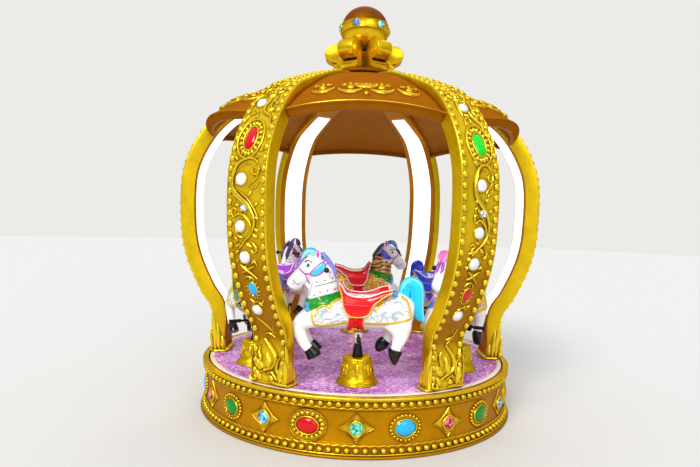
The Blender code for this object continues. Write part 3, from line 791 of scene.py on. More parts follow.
def on_rib(co):
    """Seat on a rib's outer face: x across, y along the line, the height outwards from the sunk field.

    Where the rib bulges most its relief is pressed flatter, so that it keeps within the ride's width.
    """
    point, out = along_line(RIB_TABLE, co.y)
    reach = co.z
    if out.x > 0.5 and reach > 0:
        room = RIB_SINK + (CAD_BOX[1][0] - 0.0005 - point.x) / out.x
        reach /= (1 + (reach / room) ** 6) ** (1 / 6)
    return rib_point(co.y, co.x, reach - RIB_SINK)


def rib_half(radius):
    return RIB_HALF + RIB_SPREAD * radius


def rib_half_at(length):
    return rib_half(along_line(RIB_TABLE, length)[0].x)


def rib_shell(bm):
    """The rib's box with a sunk field, raised margins and rounded edges."""
    stations = 110

    def place(i, j):
        length = RIB_LENGTH * j / stations
        point, out = along_line(RIB_TABLE, length)
        wide, thin = rib_half(point.x), rib_half(point.x - out.x * RIB_DEPTH)
        front = [(wide, -0.025), (wide, -0.019), (wide - 0.0025, -0.0145), (wide - 0.008, -0.0125),
                 (wide - 0.030, -0.0125), (wide - 0.034, -RIB_SINK)]
        back = [(thin - 0.010, -RIB_DEPTH), (thin - 0.003, 0.003 - RIB_DEPTH), (thin, 0.010 - RIB_DEPTH)]
        section = front + [(0.0, -RIB_SINK)] + mirrored(front) + mirrored(back) + back
        return rib_point(length, *section[i])
    skin(bm, 19, stations, place)
    _, points, outs = RIB_TABLE
    for face in bm.faces:
        middle = face.calc_center_median().xz
        nearest = min(range(0, len(points), 3), key=lambda k: (points[k] - middle).length)
        if abs(face.normal.y) > 0.75:
            face.material_index = 1
        elif face.normal.xz.dot(outs[nearest]) < -0.3:
            face.material_index = 2


# Carved strokes of a rib as seen from outside: half width, then places as x to the right and height
RIB_STROKES = metres((
    (13.5, (77, 1752), (53, 1778), (3, 1787), (-60, 1760), (-91, 1700), (-98, 1647), (-86, 1593), (-30, 1544),
     (13, 1512), (49, 1467), (66, 1422), (60, 1378), (36, 1332), (-6, 1294), (-57, 1243)),
    (5, (30, 1748), (-12, 1752), (-52, 1728), (-74, 1690)),
    (7.5, (-60, 1596), (-20, 1570), (30, 1530), (72, 1470), (86, 1420), (82, 1375)),
    (9, (77, 1752), (92, 1722), (80, 1690), (52, 1690), (40, 1714), (58, 1730)),
    (7, (88, 1700), (70, 1660), (40, 1640), (18, 1612)),
    (6.5, (92, 1640), (72, 1612), (50, 1608), (44, 1585)),
    (11, (-83, 1432), (-45, 1453), (0, 1440), (30, 1410), (42, 1370), (34, 1330)),
    (8.5, (-83, 1432), (-98, 1455), (-90, 1485), (-66, 1482), (-66, 1462)),
    (6.5, (-60, 1540), (-86, 1522), (-90, 1500)), (7, (85, 1800), (60, 1790), (30, 1800)),
    (7, (-94, 1790), (-70, 1778), (-46, 1792)),
    (11, (94, 2010), (76, 2048), (40, 2070), (10, 2092), (4, 2130), (20, 2170), (4, 2205)),
    (8, (-94, 2030), (-82, 2066), (-48, 2080), (-22, 2066), (-30, 2044)),
    (9.5, (-88, 2095), (-98, 2140), (-84, 2185), (-50, 2205), (-20, 2196)),
    (9, (86, 2080), (56, 2104), (44, 2140), (58, 2176), (48, 2206)),
    (8.5, (28, 1290), (56, 1278), (74, 1244), (56, 1222), (36, 1236)),
    (8, (-100, 1300), (-76, 1312), (-60, 1292), (-76, 1272)),
    (7, (30, 1180), (52, 1168), (62, 1142)),
    (10.5, (-62, 1146), (-30, 1126), (12, 1092), (46, 1062)),
    (9.5, (48, 1142), (16, 1130), (-30, 1104), (-62, 1094)),
    (8.5, (-56, 1048), (-30, 1072), (6, 1066), (20, 1050)),
    (6.5, (-50, 925), (-16, 906), (20, 922)),
    (5.2, (-50, 800), (-14, 766), (28, 722), (44, 702)),
    (5.2, (50, 760), (36, 716), (0, 678), (-22, 660)), (9, (-30, 690), (12, 704), (48, 680)),
    (15, (-30, 664), (-6, 640), (30, 604), (52, 566), (52, 520), (20, 484), (-40, 458), (-78, 436)),
    (12, (90, 560), (70, 530), (64, 494), (78, 460), (104, 440)),
    (12, (-66, 620), (-76, 580), (-60, 540), (-70, 500), (-96, 480)),
    (12, (-20, 440), (30, 462), (50, 440), (70, 414)),
    (11.5, (-120, 440), (-140, 412), (-120, 390), (-94, 398), (-98, 420), (-116, 418)),
    (12, (0, 392), (50, 394), (100, 388), (146, 388)),
))
# Leaves of a rib: root and tip as x and height, half width
RIB_LEAVES = metres((
    (-70, 1780, -104, 1812, 13), (20, 1560, 48, 1590, 12), (60, 1500, 94, 1520, 12), (-60, 1572, -98, 1556, 12),
    (70, 1440, 100, 1420, 12), (64, 1370, 96, 1350, 12), (50, 1340, 88, 1310, 13), (-20, 1310, -70, 1326, 13),
    (-40, 1270, -96, 1250, 13), (0, 1285, 50, 1250, 15), (-60, 1232, -94, 1206, 13), (20, 1152, 60, 1186, 11),
    (-70, 1180, -88, 1150, 11), (-26, 1140, -24, 1116, 9), (-20, 908, -52, 884, 10), (10, 908, 40, 886, 10),
    (30, 900, 56, 930, 9), (-86, 1850, -112, 1880, 11), (78, 1826, 104, 1846, 12), (92, 1968, 110, 2000, 11),
    (-100, 1960, -112, 2000, 11), (40, 2062, 84, 2116, 15), (-20, 2080, -70, 2110, 14), (6, 2180, 36, 2226, 14),
    (-60, 2186, -92, 2226, 14), (60, 2150, 94, 2130, 12), (-46, 1494, -66, 1520, 10), (12, 1462, -12, 1452, 8),
    (-50, 470, -120, 540, 30), (84, 400, 120, 560, 28), (-60, 400, -106, 470, 24), (10, 470, -20, 590, 24),
    (40, 400, 10, 450, 20), (96, 560, 118, 640, 14), (-104, 560, -122, 640, 14),
))
# Pearls of a rib: x and height, then share of the largest radius
RIB_PEARLS = (
    (-0.038, 2.150, 0.90), (-0.033, 1.660, 1.0), (-0.036, 1.378, 0.95), (-0.021, 1.190, 1.0), (-0.021, 0.856, 0.95),
)
# Middles of a rib's upper oval, lower oval and small stone
UPPER_OVAL, LOWER_OVAL, SMALL_STONE = (-0.009, 1.912), (-0.008, 0.994), (-0.008, 1.492)


def on_carving(x, z, lean):
    """Place on a rib after its carving was set over by hand: full above the middle, less below it."""
    share = 0.4 + 0.6 * min(1.0, max(0.0, (z - 1.24) / 0.10))
    return Vector((x + lean * share * (0.5 - x / 0.19), rib_length_at(z)))


def rib_relief(bm, pearl, lean, pitch):
    """Bead borders, scrolls, rosettes and leaves on the outer face; +x is the rib's right side from outside."""
    # A thin fillet runs along each edge, outside the beads
    for hand in (-1, 1):
        lengths = [RIB_LENGTH * k / 60 for k in range(5, 59)]
        stem(bm, [Vector((hand * (rib_half_at(at) - 0.0045), at)) for at in lengths], 0.0050, on_rib, flat=1.6)
    places = []
    for k in range(1, int((RIB_LENGTH - 0.16) / pitch)):
        length = pitch * (k + 0.3)
        edge = rib_half_at(length) - 0.0235
        places += [(edge, length), (-edge, length)]
    add_beads(bm, 0.0200, 0.0175, places, lambda at: lambda co: on_rib(
        Vector((at[0] + co.x, at[1] + co.y * 1.2, co.z + 0.001))), sides=9)
    # Rosette round the upper oval: two frames with broad flutes between them
    rosette = moved(on_rib, *on_carving(*UPPER_OVAL, lean))
    for wide, high, thick in ((0.050, 0.082, 0.0075), (0.093, 0.132, 0.0080)):
        rim(bm, ring(wide, high), half_round(thick, thick * 1.4), rosette, sides=44)
    for turn in turns(18, 0):
        leaf(bm, ring(0.052, 0.084)(turn), ring(0.091, 0.130)(turn), 0.0150, rosette, height=0.015)
    for thick, *points in RIB_STROKES:
        line = smooth_line([on_carving(x, z, lean) for x, z in points], 3)
        stem(bm, line, tapered(line, thick * 1.22, 0.5, 0.5), on_rib, flat=1.25)
    for x0, z0, x1, z1, wide in RIB_LEAVES:
        leaf(bm, on_carving(x0, z0, lean), on_carving(x1, z1, lean), wide, on_rib, height=min(0.018, wide + 0.002))
    # Dots round the lower oval and rings round the pearls and the small stone
    low = moved(on_rib, *on_carving(*LOWER_OVAL, lean))
    add_beads(bm, 0.0072, 0.0080, turns(14), lambda turn: moved(low, *ring(0.046, 0.064)(turn)), sides=6, rings=2)
    rim(bm, ring(0.035, 0.050), half_round(0.005, 0.009, parts=4), low, sides=28)
    for x, z, share in (*RIB_PEARLS, (*SMALL_STONE, 0.65)):
        rim(bm, ring(pearl * share + 0.001), half_round(0.0045, 0.0075, parts=4),
            moved(on_rib, *on_carving(x, z, lean)), sides=24)
    # Curls and leaves that run over the top of the dome
    for k in range(7):
        at = rib_length_at(2.19) + 0.068 + 0.098 * k
        wide = rib_half_at(at) - 0.045
        for hand in (-1, 1):
            line = curl(wide * 0.45, at, wide * 0.44, 1.1, hand)
            stem(bm, line, tapered(line, 0.0090, 0.9, 0.4, 0.2), on_rib, flat=1.2)
        leaf(bm, (0, at - 0.02), (0, at + 0.045), 0.014, on_rib, height=0.014)


def rib_gems(bm, pearl, lean, upper, lower):
    """Pearls, ovals and small stone of one rib; upper and lower are the finishes of its two ovals."""
    for x, z, share in RIB_PEARLS:
        seat = moved(on_rib, *on_carving(x, z, lean), -0.001)
        boss(bm, ring(pearl * share), cabochon(0.024, rings=6), seat, sides=28)
    for spot, outline, profile, sides, material in (
        (UPPER_OVAL, ring(0.044, 0.076), cabochon(0.017), 32, upper),
        (LOWER_OVAL, ring(0.032, 0.047), cabochon(0.014), 32, lower),
        (SMALL_STONE, ring(0.0255), cut_stone(0.020), 8, 4),
    ):
        boss(bm, outline, profile, moved(on_rib, *on_carving(*spot, lean)), sides=sides, material=material)


def rib_foot(bm):
    """Moulded foot plate and the leaves that lap the rib's flat sides."""
    profile = [(0, 0), (0.985, 0), (1.0, 0.004), (1.0, 0.010), (0.97, 0.016), (0.93, 0.020), (0, 0.020)]
    foot = Vector((1.062, 0, DECK_TOP + 0.0005))
    boss(bm, ring(0.066, 0.153, 0.35), profile, lambda co: co + foot, sides=48)
    leaves = metres((
        (1098, 385, 1132, 664, 26, 10), (1066, 385, 1092, 600, 26, 0), (1036, 385, 1048, 500, 22, 0),
        (1120, 385, 1140, 560, 18, 4),
    ))
    flank = rib_half(1.14) - 0.002
    for hand in (-1, 1):
        for x0, z0, x1, z1, wide, bend in leaves:
            leaf(bm, (x0, z0), (x1, z1), wide, lambda co: Vector((co.x, hand * (flank + co.z), co.y)),
                 height=0.018, bend=bend)


class CAROUSEL_OT_ribs(bpy.types.Operator):
    """Build the six ribs with their carving, shoes and stones"""
    bl_idname = "carousel.ribs"
    bl_label = "Ribs"

    def execute(self, context):
        colours = context.scene.carousel_ribs
        # Painted shade: the face turns to the darker low colour on the rib's lower half
        face = gilded_fibreglass("gold_glazed_fibreglass_rib", colours.face_colour, metallic=0.6, roughness=0.32,
                                 low="A8700E")
        side = gilded_fibreglass("brown_gold_fibreglass_side", colours.side_colour, metallic=0.92, roughness=0.36,
                                 hollow=0.5)
        inner = gilded_fibreglass("dark_gold_fibreglass_inner", colours.inner_colour, metallic=0.6, roughness=0.38,
                                  hollow=0.4)
        bright = gilded_fibreglass("gold_lacquered_fibreglass_carving", linear("FADA34"), glaze="6A3206",
                                   metallic=0.75, roughness=0.25)
        stones = jewels("pearl", "ruby_cabochon", "bright_green_cabochon", "turquoise_cabochon", "ice_blue_stone")
        pearl = colours.pearl_radius
        for n, angle in enumerate(RIB_ANGLES, 1):
            # The carving leans to the left on every other rib, and the ovals' colours change with it
            lean, upper, lower = (0.055, 2, 1) if n % 2 else (-0.012, 1, 3)
            shell, carving, gems, shoe = (bmesh.new() for _ in range(4))
            rib_shell(shell)
            rib_relief(carving, pearl, lean, colours.bead_pitch)
            rib_gems(gems, pearl, lean, upper, lower)
            rib_foot(shoe)
            spot = turned(angle)
            make_piece(shell, f"rib_shell_{n}", "turntable", [face, side, inner],
                       replaces=[f"rib_{n}"], matrix=spot, sharp=40)
            make_piece(carving, f"rib_carving_{n}", "turntable", [bright], matrix=spot, sharp=60)
            make_piece(gems, f"rib_stones_{n}", "turntable", stones, matrix=spot, sharp=25)
            make_piece(shoe, f"rib_shoe_{n}", "turntable", [bright], matrix=spot, sharp=60)
        return {"FINISHED"}


class CAROUSEL_OT_lights(bpy.types.Operator):
    """Build the frosted light strips on the ribs' inner faces"""
    bl_idname = "carousel.lights"
    bl_label = "Light strips"

    def execute(self, context):
        opal = frosted_acrylic("opal_acrylic_diffuser")
        start, end = rib_length_at(0.690), rib_length_at(2.446)
        stations = 80

        def place(i, j):
            length = start + (end - start) * j / stations
            wide = 0.60 * rib_half_at(length)
            half = [(wide, -0.0005), (wide, -0.007), (wide - 0.002, -0.010), (wide - 0.006, -0.0115)]
            x, reach = (half + [(0, -0.012)] + mirrored(half))[i]
            return rib_point(length, x, reach - RIB_DEPTH)
        for n, angle in enumerate(RIB_ANGLES, 1):
            strip = bmesh.new()
            skin(strip, 9, stations, place)
            make_piece(strip, f"light_diffuser_{n}", "turntable", [opal],
                       replaces=[f"light_strip_{n}"], matrix=turned(angle), sharp=50)
        return {"FINISHED"}


def edge_angle(radius):
    """Angle off a rib's middle at which a roof panel starts, along the rib's flat side."""
    slope = math.hypot(1.0, RIB_SPREAD)
    return math.atan(RIB_SPREAD) + math.asin((RIB_HALF + 0.0003 * slope) / slope / radius)


def panel_point(radius, height, share):
    """Point of a roof panel; share runs from one rib, 0, to the next, 1."""
    start = edge_angle(radius)
    angle = start + (math.radians(60) - 2 * start) * share
    reach = min(1.0, max(0.0, (radius - 0.55) / 0.60))
    drop = EAVES_DROP * reach * (2 * share - 1) ** 2
    return Vector((radius * math.cos(angle), radius * math.sin(angle), height - drop))


def on_roof(co):
    """Seat on a roof panel: x across from its middle, y up the slope from the eaves."""
    lengths, points, _ = ROOF_TABLE
    i, share = span_at(lengths, co.y)
    point = points[i].lerp(points[i + 1], share)
    along = (points[i + 1] - points[i]).normalized()
    width = (math.radians(60) - 2 * edge_angle(point.x)) * point.x
    base = panel_point(point.x, point.y, 0.5 + co.x / width)
    flat = Vector((base.x, base.y, 0)).normalized()
    return base + flat * along.y * co.z + Vector((0, 0, -along.x * co.z))


def roof_relief(bm, size):
    """Row of four crescents with dots, small curls above them and a leaf spray in the middle."""
    for x, row in ((-0.272, 0.148), (-0.096, 0.124), (0.096, 0.124), (0.272, 0.148)):
        seat = moved(on_roof, x, row)
        half = [(size * 1.15, 0.050), (size * 0.98, 0.014), (size * 0.50, -0.014)]
        line = smooth_line([(-a, b) for a, b in half] + [(0, -0.022)] + half[::-1], 5)
        stem(bm, line, tapered(line, 0.0215, 0.20, 0.20, 0.5), seat, sides=8, flat=0.9)
        boss(bm, ring(0.027, 0.022), cabochon(0.020, rings=4), moved(seat, 0, 0.040), sides=14)
        for hand in (-1, 1):
            line = curl(size * 0.50, 0.098, 0.025, 1.0, hand)
            stem(bm, line, tapered(line, 0.0105, 1.0, 0.5, 0.2), seat, flat=1.1)
        leaf(bm, (0, 0.078), (0, 0.150), 0.017, seat, height=0.014)
    for k in range(5):
        tip = ring(0.074, 0.078)(math.radians(20 + 35 * k))
        leaf(bm, (0, 0), tip, 0.018, moved(on_roof, 0, 0.182), height=0.016)
    line = smooth_line([(-0.074, 0.212), (-0.056, 0.182), (0.0, 0.168), (0.056, 0.182), (0.074, 0.212)], 5)
    stem(bm, line, tapered(line, 0.0190, 0.4, 0.4, 0.5), on_roof, sides=8)
    boss(bm, ring(0.018), cabochon(0.017, rings=4), moved(on_roof, 0, 0.082), sides=12)


def on_arris(co):
    """Seat on the edge of the eaves: x from one rib, -0.5, to the next, 0.5."""
    point = panel_point(1.2040, 2.1405, min(1.0, max(0.0, co.x + 0.5)))
    flat = Vector((point.x, point.y, 0)).normalized()
    return point + flat * co.z * 0.6 + Vector((0, 0, co.y))


class CAROUSEL_OT_roof(bpy.types.Operator):
    """Build the six roof panels with their eaves moulding and carved scrolls"""
    bl_idname = "carousel.roof"
    bl_label = "Roof panels"

    def execute(self, context):
        colours = context.scene.carousel_roof
        outer = gilded_fibreglass("brown_gold_fibreglass_roof", colours.panel_colour, metallic=0.15, roughness=0.50,
                                  hollow=0.5, specular=0.0)
        under = gilded_fibreglass("dark_gold_fibreglass_ceiling", linear("A86A1C"), metallic=0.3, roughness=0.45,
                                  hollow=0.3, specular=0.2)
        bright = gilded_fibreglass("gold_lacquered_fibreglass_scrolls", linear("EEC026"), glaze="5A2A06",
                                   roughness=0.27)
        _, points, outs = ROOF_TABLE
        inside = [point - out * ROOF_THICKNESS for point, out in zip(points, outs)]
        eaves = metres((
            (1186, 2114), (1194, 2126), (1200, 2130), (1205.5, 2134), (1206.5, 2140), (1203, 2145), (1198, 2146.5),
            (1193, 2144.5),
        ))
        section = [(1.1685, FASCIA_BOTTOM), (1.172, FASCIA_BOTTOM + 0.004), *eaves, *points[1:], *inside[:1:-1],
                   (1.160, 2.128), (1.150, 2.110), (1.142, FASCIA_BOTTOM + 0.002), (1.146, FASCIA_BOTTOM)]
        steps = 24
        for n, angle in enumerate(PANEL_ANGLES, 1):
            shell = bmesh.new()
            skin(shell, len(section), steps, lambda i, j: panel_point(*section[i], j / steps))
            for face in shell.faces:
                if face.normal.z < -0.25 and face.calc_center_median().xy.length < 1.166:
                    face.material_index = 1
            make_piece(shell, f"roof_shell_{n}", "turntable", [outer, under],
                       replaces=[f"roof_panel_{n}"], matrix=turned(angle), sharp=50)
            relief = bmesh.new()
            roof_relief(relief, colours.scroll_size)
            # Painted highlight: a thin bright gold bead along the eaves' edge stands for the light caught by the
            # sharp arris
            stem(relief, [Vector((k / steps - 0.5, 0)) for k in range(steps + 1)], 0.0038, on_arris)
            make_piece(relief, f"roof_carving_{n}", "turntable", [bright],
                       matrix=turned(angle), sharp=60)
        return {"FINISHED"}


# Profiles of the finial: a scroll bracket's back, the cap and the ball's jewelled band
BRACKET = metres((
    (108, 2574), (128, 2660), (138, 2745), (172, 2790), (220, 2804), (268, 2795), (300, 2764), (307, 2722),
    (290, 2684), (252, 2662), (222, 2656), (214, 2648), (232, 2641), (238, 2630), (230, 2616), (238, 2594),
    (258, 2572),
))
CAP = metres((
    (0, 2550.5), (286, 2550.5), (290, 2558), (288, 2568), (270, 2578), (240, 2589), (180, 2596), (112, 2602),
    (102, 2640), (100, 2745), (0, 2749.5),
))
BALL_BAND = metres((
    (180, 2900), (190, 2902), (193.5, 2908), (189.5, 2914), (190.5, 2938), (185.5, 2966), (188, 2971),
    (182.5, 2977), (174, 2976),
))


class CAROUSEL_OT_finial(bpy.types.Operator):
    """Build the crown's cap, its six scroll brackets and the jewelled ball"""
    bl_idname = "carousel.finial"
    bl_label = "Finial"

    def execute(self, context):
        colours = context.scene.carousel_finial
        bright = gilded_fibreglass("gold_lacquered_fibreglass_finial", colours.ball_low_colour, glaze="7A3206",
                                   roughness=0.26)
        brown = gilded_fibreglass("brown_gold_fibreglass_ball", colours.ball_top_colour, metallic=0.5,
                                  roughness=0.42, hollow=0.6, specular=0.1)
        curve = smooth_line(BRACKET, 4)
        middle = Vector((0.205, 2.700))
        scrolls = bmesh.new()
        lathe(scrolls, CAP, 72, material=1)
        wide = colours.strap_width
        half = [(wide - 0.006, 0.0), (wide - 0.002, 0.0015), (wide, 0.005)]
        layers = mirrored(half) + half

        def place(i, j):
            y, inset = layers[j]
            point = curve[i] + (middle - curve[i]).normalized() * inset
            return Vector((point.x, y, point.y))
        for n in range(6):
            block = bmesh.new()
            skin(block, len(curve), len(layers) - 1, place)
            pour(scrolls, block, lambda co: turned(math.radians(60 * n)) @ co)
        make_piece(scrolls, "finial_straps", "turntable", [bright, brown],
                   replaces=["finial_scrolls"], sharp=50)
        ball = bmesh.new()
        centre, radius, foot = 2.930, 0.187, 2.7505
        profile = [(0.0, foot), (0.052, foot)]
        for k in range(6, 44):
            turn = -math.pi / 2 + math.pi * k / 44
            if centre + radius * math.sin(turn) > foot + 0.0015:
                profile.append((radius * math.cos(turn), centre + radius * math.sin(turn)))
        profile.append((0.0, centre + radius))
        lathe(ball, profile, 72)
        for face in ball.faces:
            if face.calc_center_median().z < centre - 0.002:
                face.material_index = 1
        lathe(ball, BALL_BAND, 72, material=1)
        make_piece(ball, "finial_orb", "turntable", [brown, bright], replaces=["finial_ball"],
                   sharp=60)
        stones = bmesh.new()
        for k in range(6):
            seat = on_drum(math.radians(60 * k - 110.8), 0.190, 2.939)
            rim(stones, ring(0.0315), half_round(0.004, 0.008), seat, sides=24, material=3)
            boss(stones, ring(0.0295), cut_stone(0.016), seat, sides=10, material=(0, 1, 2, 0, 2, 1)[k])
        finishes = [*jewels("sky_blue_stone", "aqua_stone", "clear_stone"), bright]
        make_piece(stones, "finial_stones", "turntable", finishes, sharp=25)
        return {"FINISHED"}


# Profiles of the bell and its rubber boot as radius and height above the deck
BELL = metres((
    (138, 0), (139.5, 4), (136, 9), (126, 17), (116, 30), (109, 50), (103, 85), (98, 122), (93.5, 150), (92, 157),
    (92.5, 164), (88, 171), (78, 172.5), (36, 172.5), (34, 166), (74, 160), (94, 45), (106, 18), (112, 0),
))
BOOT = metres((
    (34, 172.8), (36, 178), (33, 185), (35, 192), (30, 199), (32, 206), (27.5, 214), (29, 221), (25, 230),
    (25.5, 238), (22.5, 248), (22.5, 259.5), (18.8, 259.5), (18.8, 172.8),
))


class CAROUSEL_OT_pedestals(bpy.types.Operator):
    """Build the six bell pedestals, their rubber boots and the lifting posts"""
    bl_idname = "carousel.pedestals"
    bl_label = "Bells and posts"

    def execute(self, context):
        colours = context.scene.carousel_seats
        gold = gilded_fibreglass("gold_glazed_fibreglass_bell", colours.bell_colour, roughness=0.27)
        bright = gilded_fibreglass("gold_lacquered_fibreglass_bell_relief", linear("F8D22A"), glaze="6A3206",
                                   roughness=0.24)
        rubber = moulded_rubber("black_moulded_rubber")
        cream = sprayed_gloss("cream_gloss_steel_post", colours.post_colour)
        grip = moulded_rubber("black_rubber_foot_peg", "101012")
        base = DECK_TOP + 0.0005

        def on_wall(turn):
            def seat(co):
                share = (co.y - 0.052) / 0.096
                r = 0.1085 + (0.0940 - 0.1085) * share + co.z
                return Vector((r * math.cos(turn + co.x / 0.100), r * math.sin(turn + co.x / 0.100), base + co.y))
            return seat
        for n, angle in enumerate(SEAT_ANGLES, 1):
            spot = turned(angle, (SEAT_RADIUS, 0, 0))
            cup = bmesh.new()
            lathe(cup, [(r, base + z) for r, z in BELL], 64)
            for at, r, thick in ((0.148, 0.0945, 0.0035), (0.052, 0.1095, 0.0035), (0.014, 0.130, 0.004)):
                hoop = [(r + thick * math.cos(t), base + at + thick * math.sin(t)) for t in turns(6, 0)]
                lathe(cup, hoop, 64, material=1)
            for k in range(8):
                seat = on_wall(math.radians(45 * k))
                leaf(cup, (0, 0.062), (0, 0.138), 0.013, seat, height=0.007, material=1)
                for hand in (-1, 1):
                    line = smooth_line([(hand * x, y) for x, y in (
                        (0.0, 0.068), (0.018, 0.082), (0.030, 0.108), (0.022, 0.126), (0.012, 0.116))], 4)
                    stem(cup, line, tapered(line, 0.0038, 0.6, 0.5), seat, material=1)
            make_piece(cup, f"bell_pedestal_{n}", "turntable", [gold, bright],
                       replaces=[f"bell_{n}"], matrix=spot, sharp=60)
            boot = bmesh.new()
            lathe(boot, [(r, base + z) for r, z in BOOT], 40)
            make_piece(boot, f"bell_boot_{n}", "turntable", [rubber], matrix=spot, sharp=70)
            post = bmesh.new()
            low, high = DECK_TOP + 0.013, 0.7075
            lathe(post, [(0.0, low), (0.015, low), (0.0175, low + 0.0025), (0.0175, high - 0.002), (0.0160, high),
                         (0.0, high)], 32)
            lathe(post, [(0.0176, 0.668), (0.026, 0.668), (0.029, 0.671), (0.029, 0.703), (0.026, 0.706),
                         (0.0176, 0.706)], 32)
            # Foot bars with six grip rings and an end knob, to the left and to the right
            profile = [(0.0, 0.020), (0.0085, 0.020), (0.0085, 0.118), (0.0125, 0.120), (0.0135, 0.124)]
            for k in range(6):
                at = 0.128 + 0.011 * k
                profile += [(0.0135, at), (0.0118, at + 0.0035), (0.0118, at + 0.0065), (0.0135, at + 0.010)]
            profile += [(0.0155, 0.197), (0.0155, 0.201), (0.012, 0.2045), (0.0, 0.2045)]
            for hand in (-1, 1):
                bar = bmesh.new()
                lathe(bar, profile, 20, material=1)
                pour(post, bar, lambda co: Vector((hand * co.z, co.x, 0.686 + co.y)))
            bmesh.ops.recalc_face_normals(post, faces=post.faces)
            make_piece(post, f"lift_post_{n}", f"horse_{n}_body", [cream, grip],
                       replaces=[f"horse_post_{n}"], matrix=spot, sharp=50)
        return {"FINISHED"}


# The horse faces -X with its post on the upright axis. A limb has its place to the side, then its stations
# as x, z, half width and half thickness; FLESH_SIDES holds the number of sides of each limb's tube
FLESH = metres((
    (0, (-352, 862, 30, 28), (-335, 862, 72, 70), (-300, 860, 102, 100), (-215, 852, 128, 126),
     (-50, 838, 132, 114), (100, 838, 135, 116), (225, 850, 138, 122), (308, 856, 112, 108), (348, 862, 70, 70),
     (362, 862, 30, 30)),
    (0, (-185, 850, 92, 125), (-228, 945, 78, 108), (-238, 1030, 66, 94), (-238, 1100, 56, 78),
     (-250, 1160, 44, 50)),
    (0, (-250, 1178, 30, 24), (-272, 1160, 44, 50), (-312, 1128, 53, 69), (-352, 1090, 51, 63),
     (-392, 1050, 44, 54), (-420, 1020, 45, 54), (-438, 996, 42, 49), (-448, 980, 23, 26)),
    (0, (-318, 1120, 50, 30), (-296, 1090, 54, 42), (-268, 1078, 50, 40), (-240, 1085, 40, 24)),
    (-74, (-190, 825, 56, 86), (-300, 800, 48, 68), (-378, 762, 40, 48), (-385, 735, 38, 46), (-372, 690, 34, 43),
     (-350, 645, 31, 38), (-328, 612, 31, 34), (-310, 592, 30, 31)),
    (74, (-190, 825, 56, 86), (-300, 800, 48, 68), (-378, 762, 40, 48), (-385, 735, 38, 46), (-372, 692, 34, 43),
     (-350, 650, 31, 38), (-328, 618, 31, 34), (-310, 598, 30, 31)),
    (-74, (210, 855, 62, 112), (258, 770, 57, 92), (270, 705, 44, 60), (258, 655, 34, 43), (246, 622, 31, 36),
     (238, 598, 33, 36)),
    (74, (194, 855, 62, 110), (224, 775, 55, 88), (226, 712, 43, 56), (208, 672, 34, 42), (190, 645, 31, 36),
     (178, 630, 32, 36)),
    (-36, (-270, 1168, 18, 22), (-274, 1200, 19, 21), (-277, 1228, 12, 14), (-279, 1248, 4, 4)),
    (36, (-270, 1168, 18, 22), (-274, 1200, 19, 21), (-277, 1228, 12, 14), (-279, 1248, 4, 4)),
))
FLESH_SIDES = (16, 14, 14, 12, 12, 12, 12, 12, 10, 10)
HOOVES = metres((
    (-74, (-318, 604, 32, 36), (-306, 590, 34, 40), (-288, 568, 38, 47), (-278, 550, 38, 48)),
    (74, (-318, 610, 32, 36), (-306, 596, 34, 40), (-288, 574, 38, 47), (-278, 556, 38, 48)),
    (-74, (242, 610, 34, 44), (238, 594, 38, 46), (236, 560, 36, 36), (237, 525, 28, 18), (238, 512, 14, 8)),
    (74, (188, 642, 34, 34), (176, 628, 36, 42), (156, 604, 34, 42), (136, 582, 28, 30), (124, 572, 14, 16)),
))
# Painted and slightly raised zones of the moulding, cloth, collar and blanket: rise, then the outline in x and z
ZONES = metres((
    (1.5, (-360, 928), (-316, 922), (-236, 947), (-138, 970), (-90, 985), (-120, 1060), (-150, 1120), (-215, 1162),
     (-228, 1115), (-250, 1078), (-300, 1040), (-345, 1020)),
    (4.5, (-380, 930), (-316, 922), (-236, 947), (-138, 970), (-90, 985), (-90, 940), (-118, 934), (-178, 899),
     (-212, 890), (-265, 870), (-310, 849), (-380, 845)),
    (3, (-302, 842), (-290, 780), (-270, 759), (-174, 765), (-80, 787), (0, 784), (92, 780), (190, 786), (270, 803),
     (328, 818), (320, 884), (304, 922), (268, 952), (214, 969), (171, 966), (100, 975), (-110, 975), (-121, 923),
     (-152, 918), (-178, 895), (-181, 868), (-196, 875), (-223, 886), (-253, 874), (-272, 843)),
))
SADDLE_LOW = metres((
    (-132, 1016), (-122, 985), (-111, 945), (-99, 876), (-64, 827), (3, 819), (52, 832), (74, 868), (90, 900),
    (123, 925), (152, 950), (205, 982),
))
SADDLE_RIM = metres((
    (-132, 1034), (-116, 1020), (-100, 988), (-65, 960), (-11, 950), (46, 951), (102, 967), (148, 986), (205, 998),
))
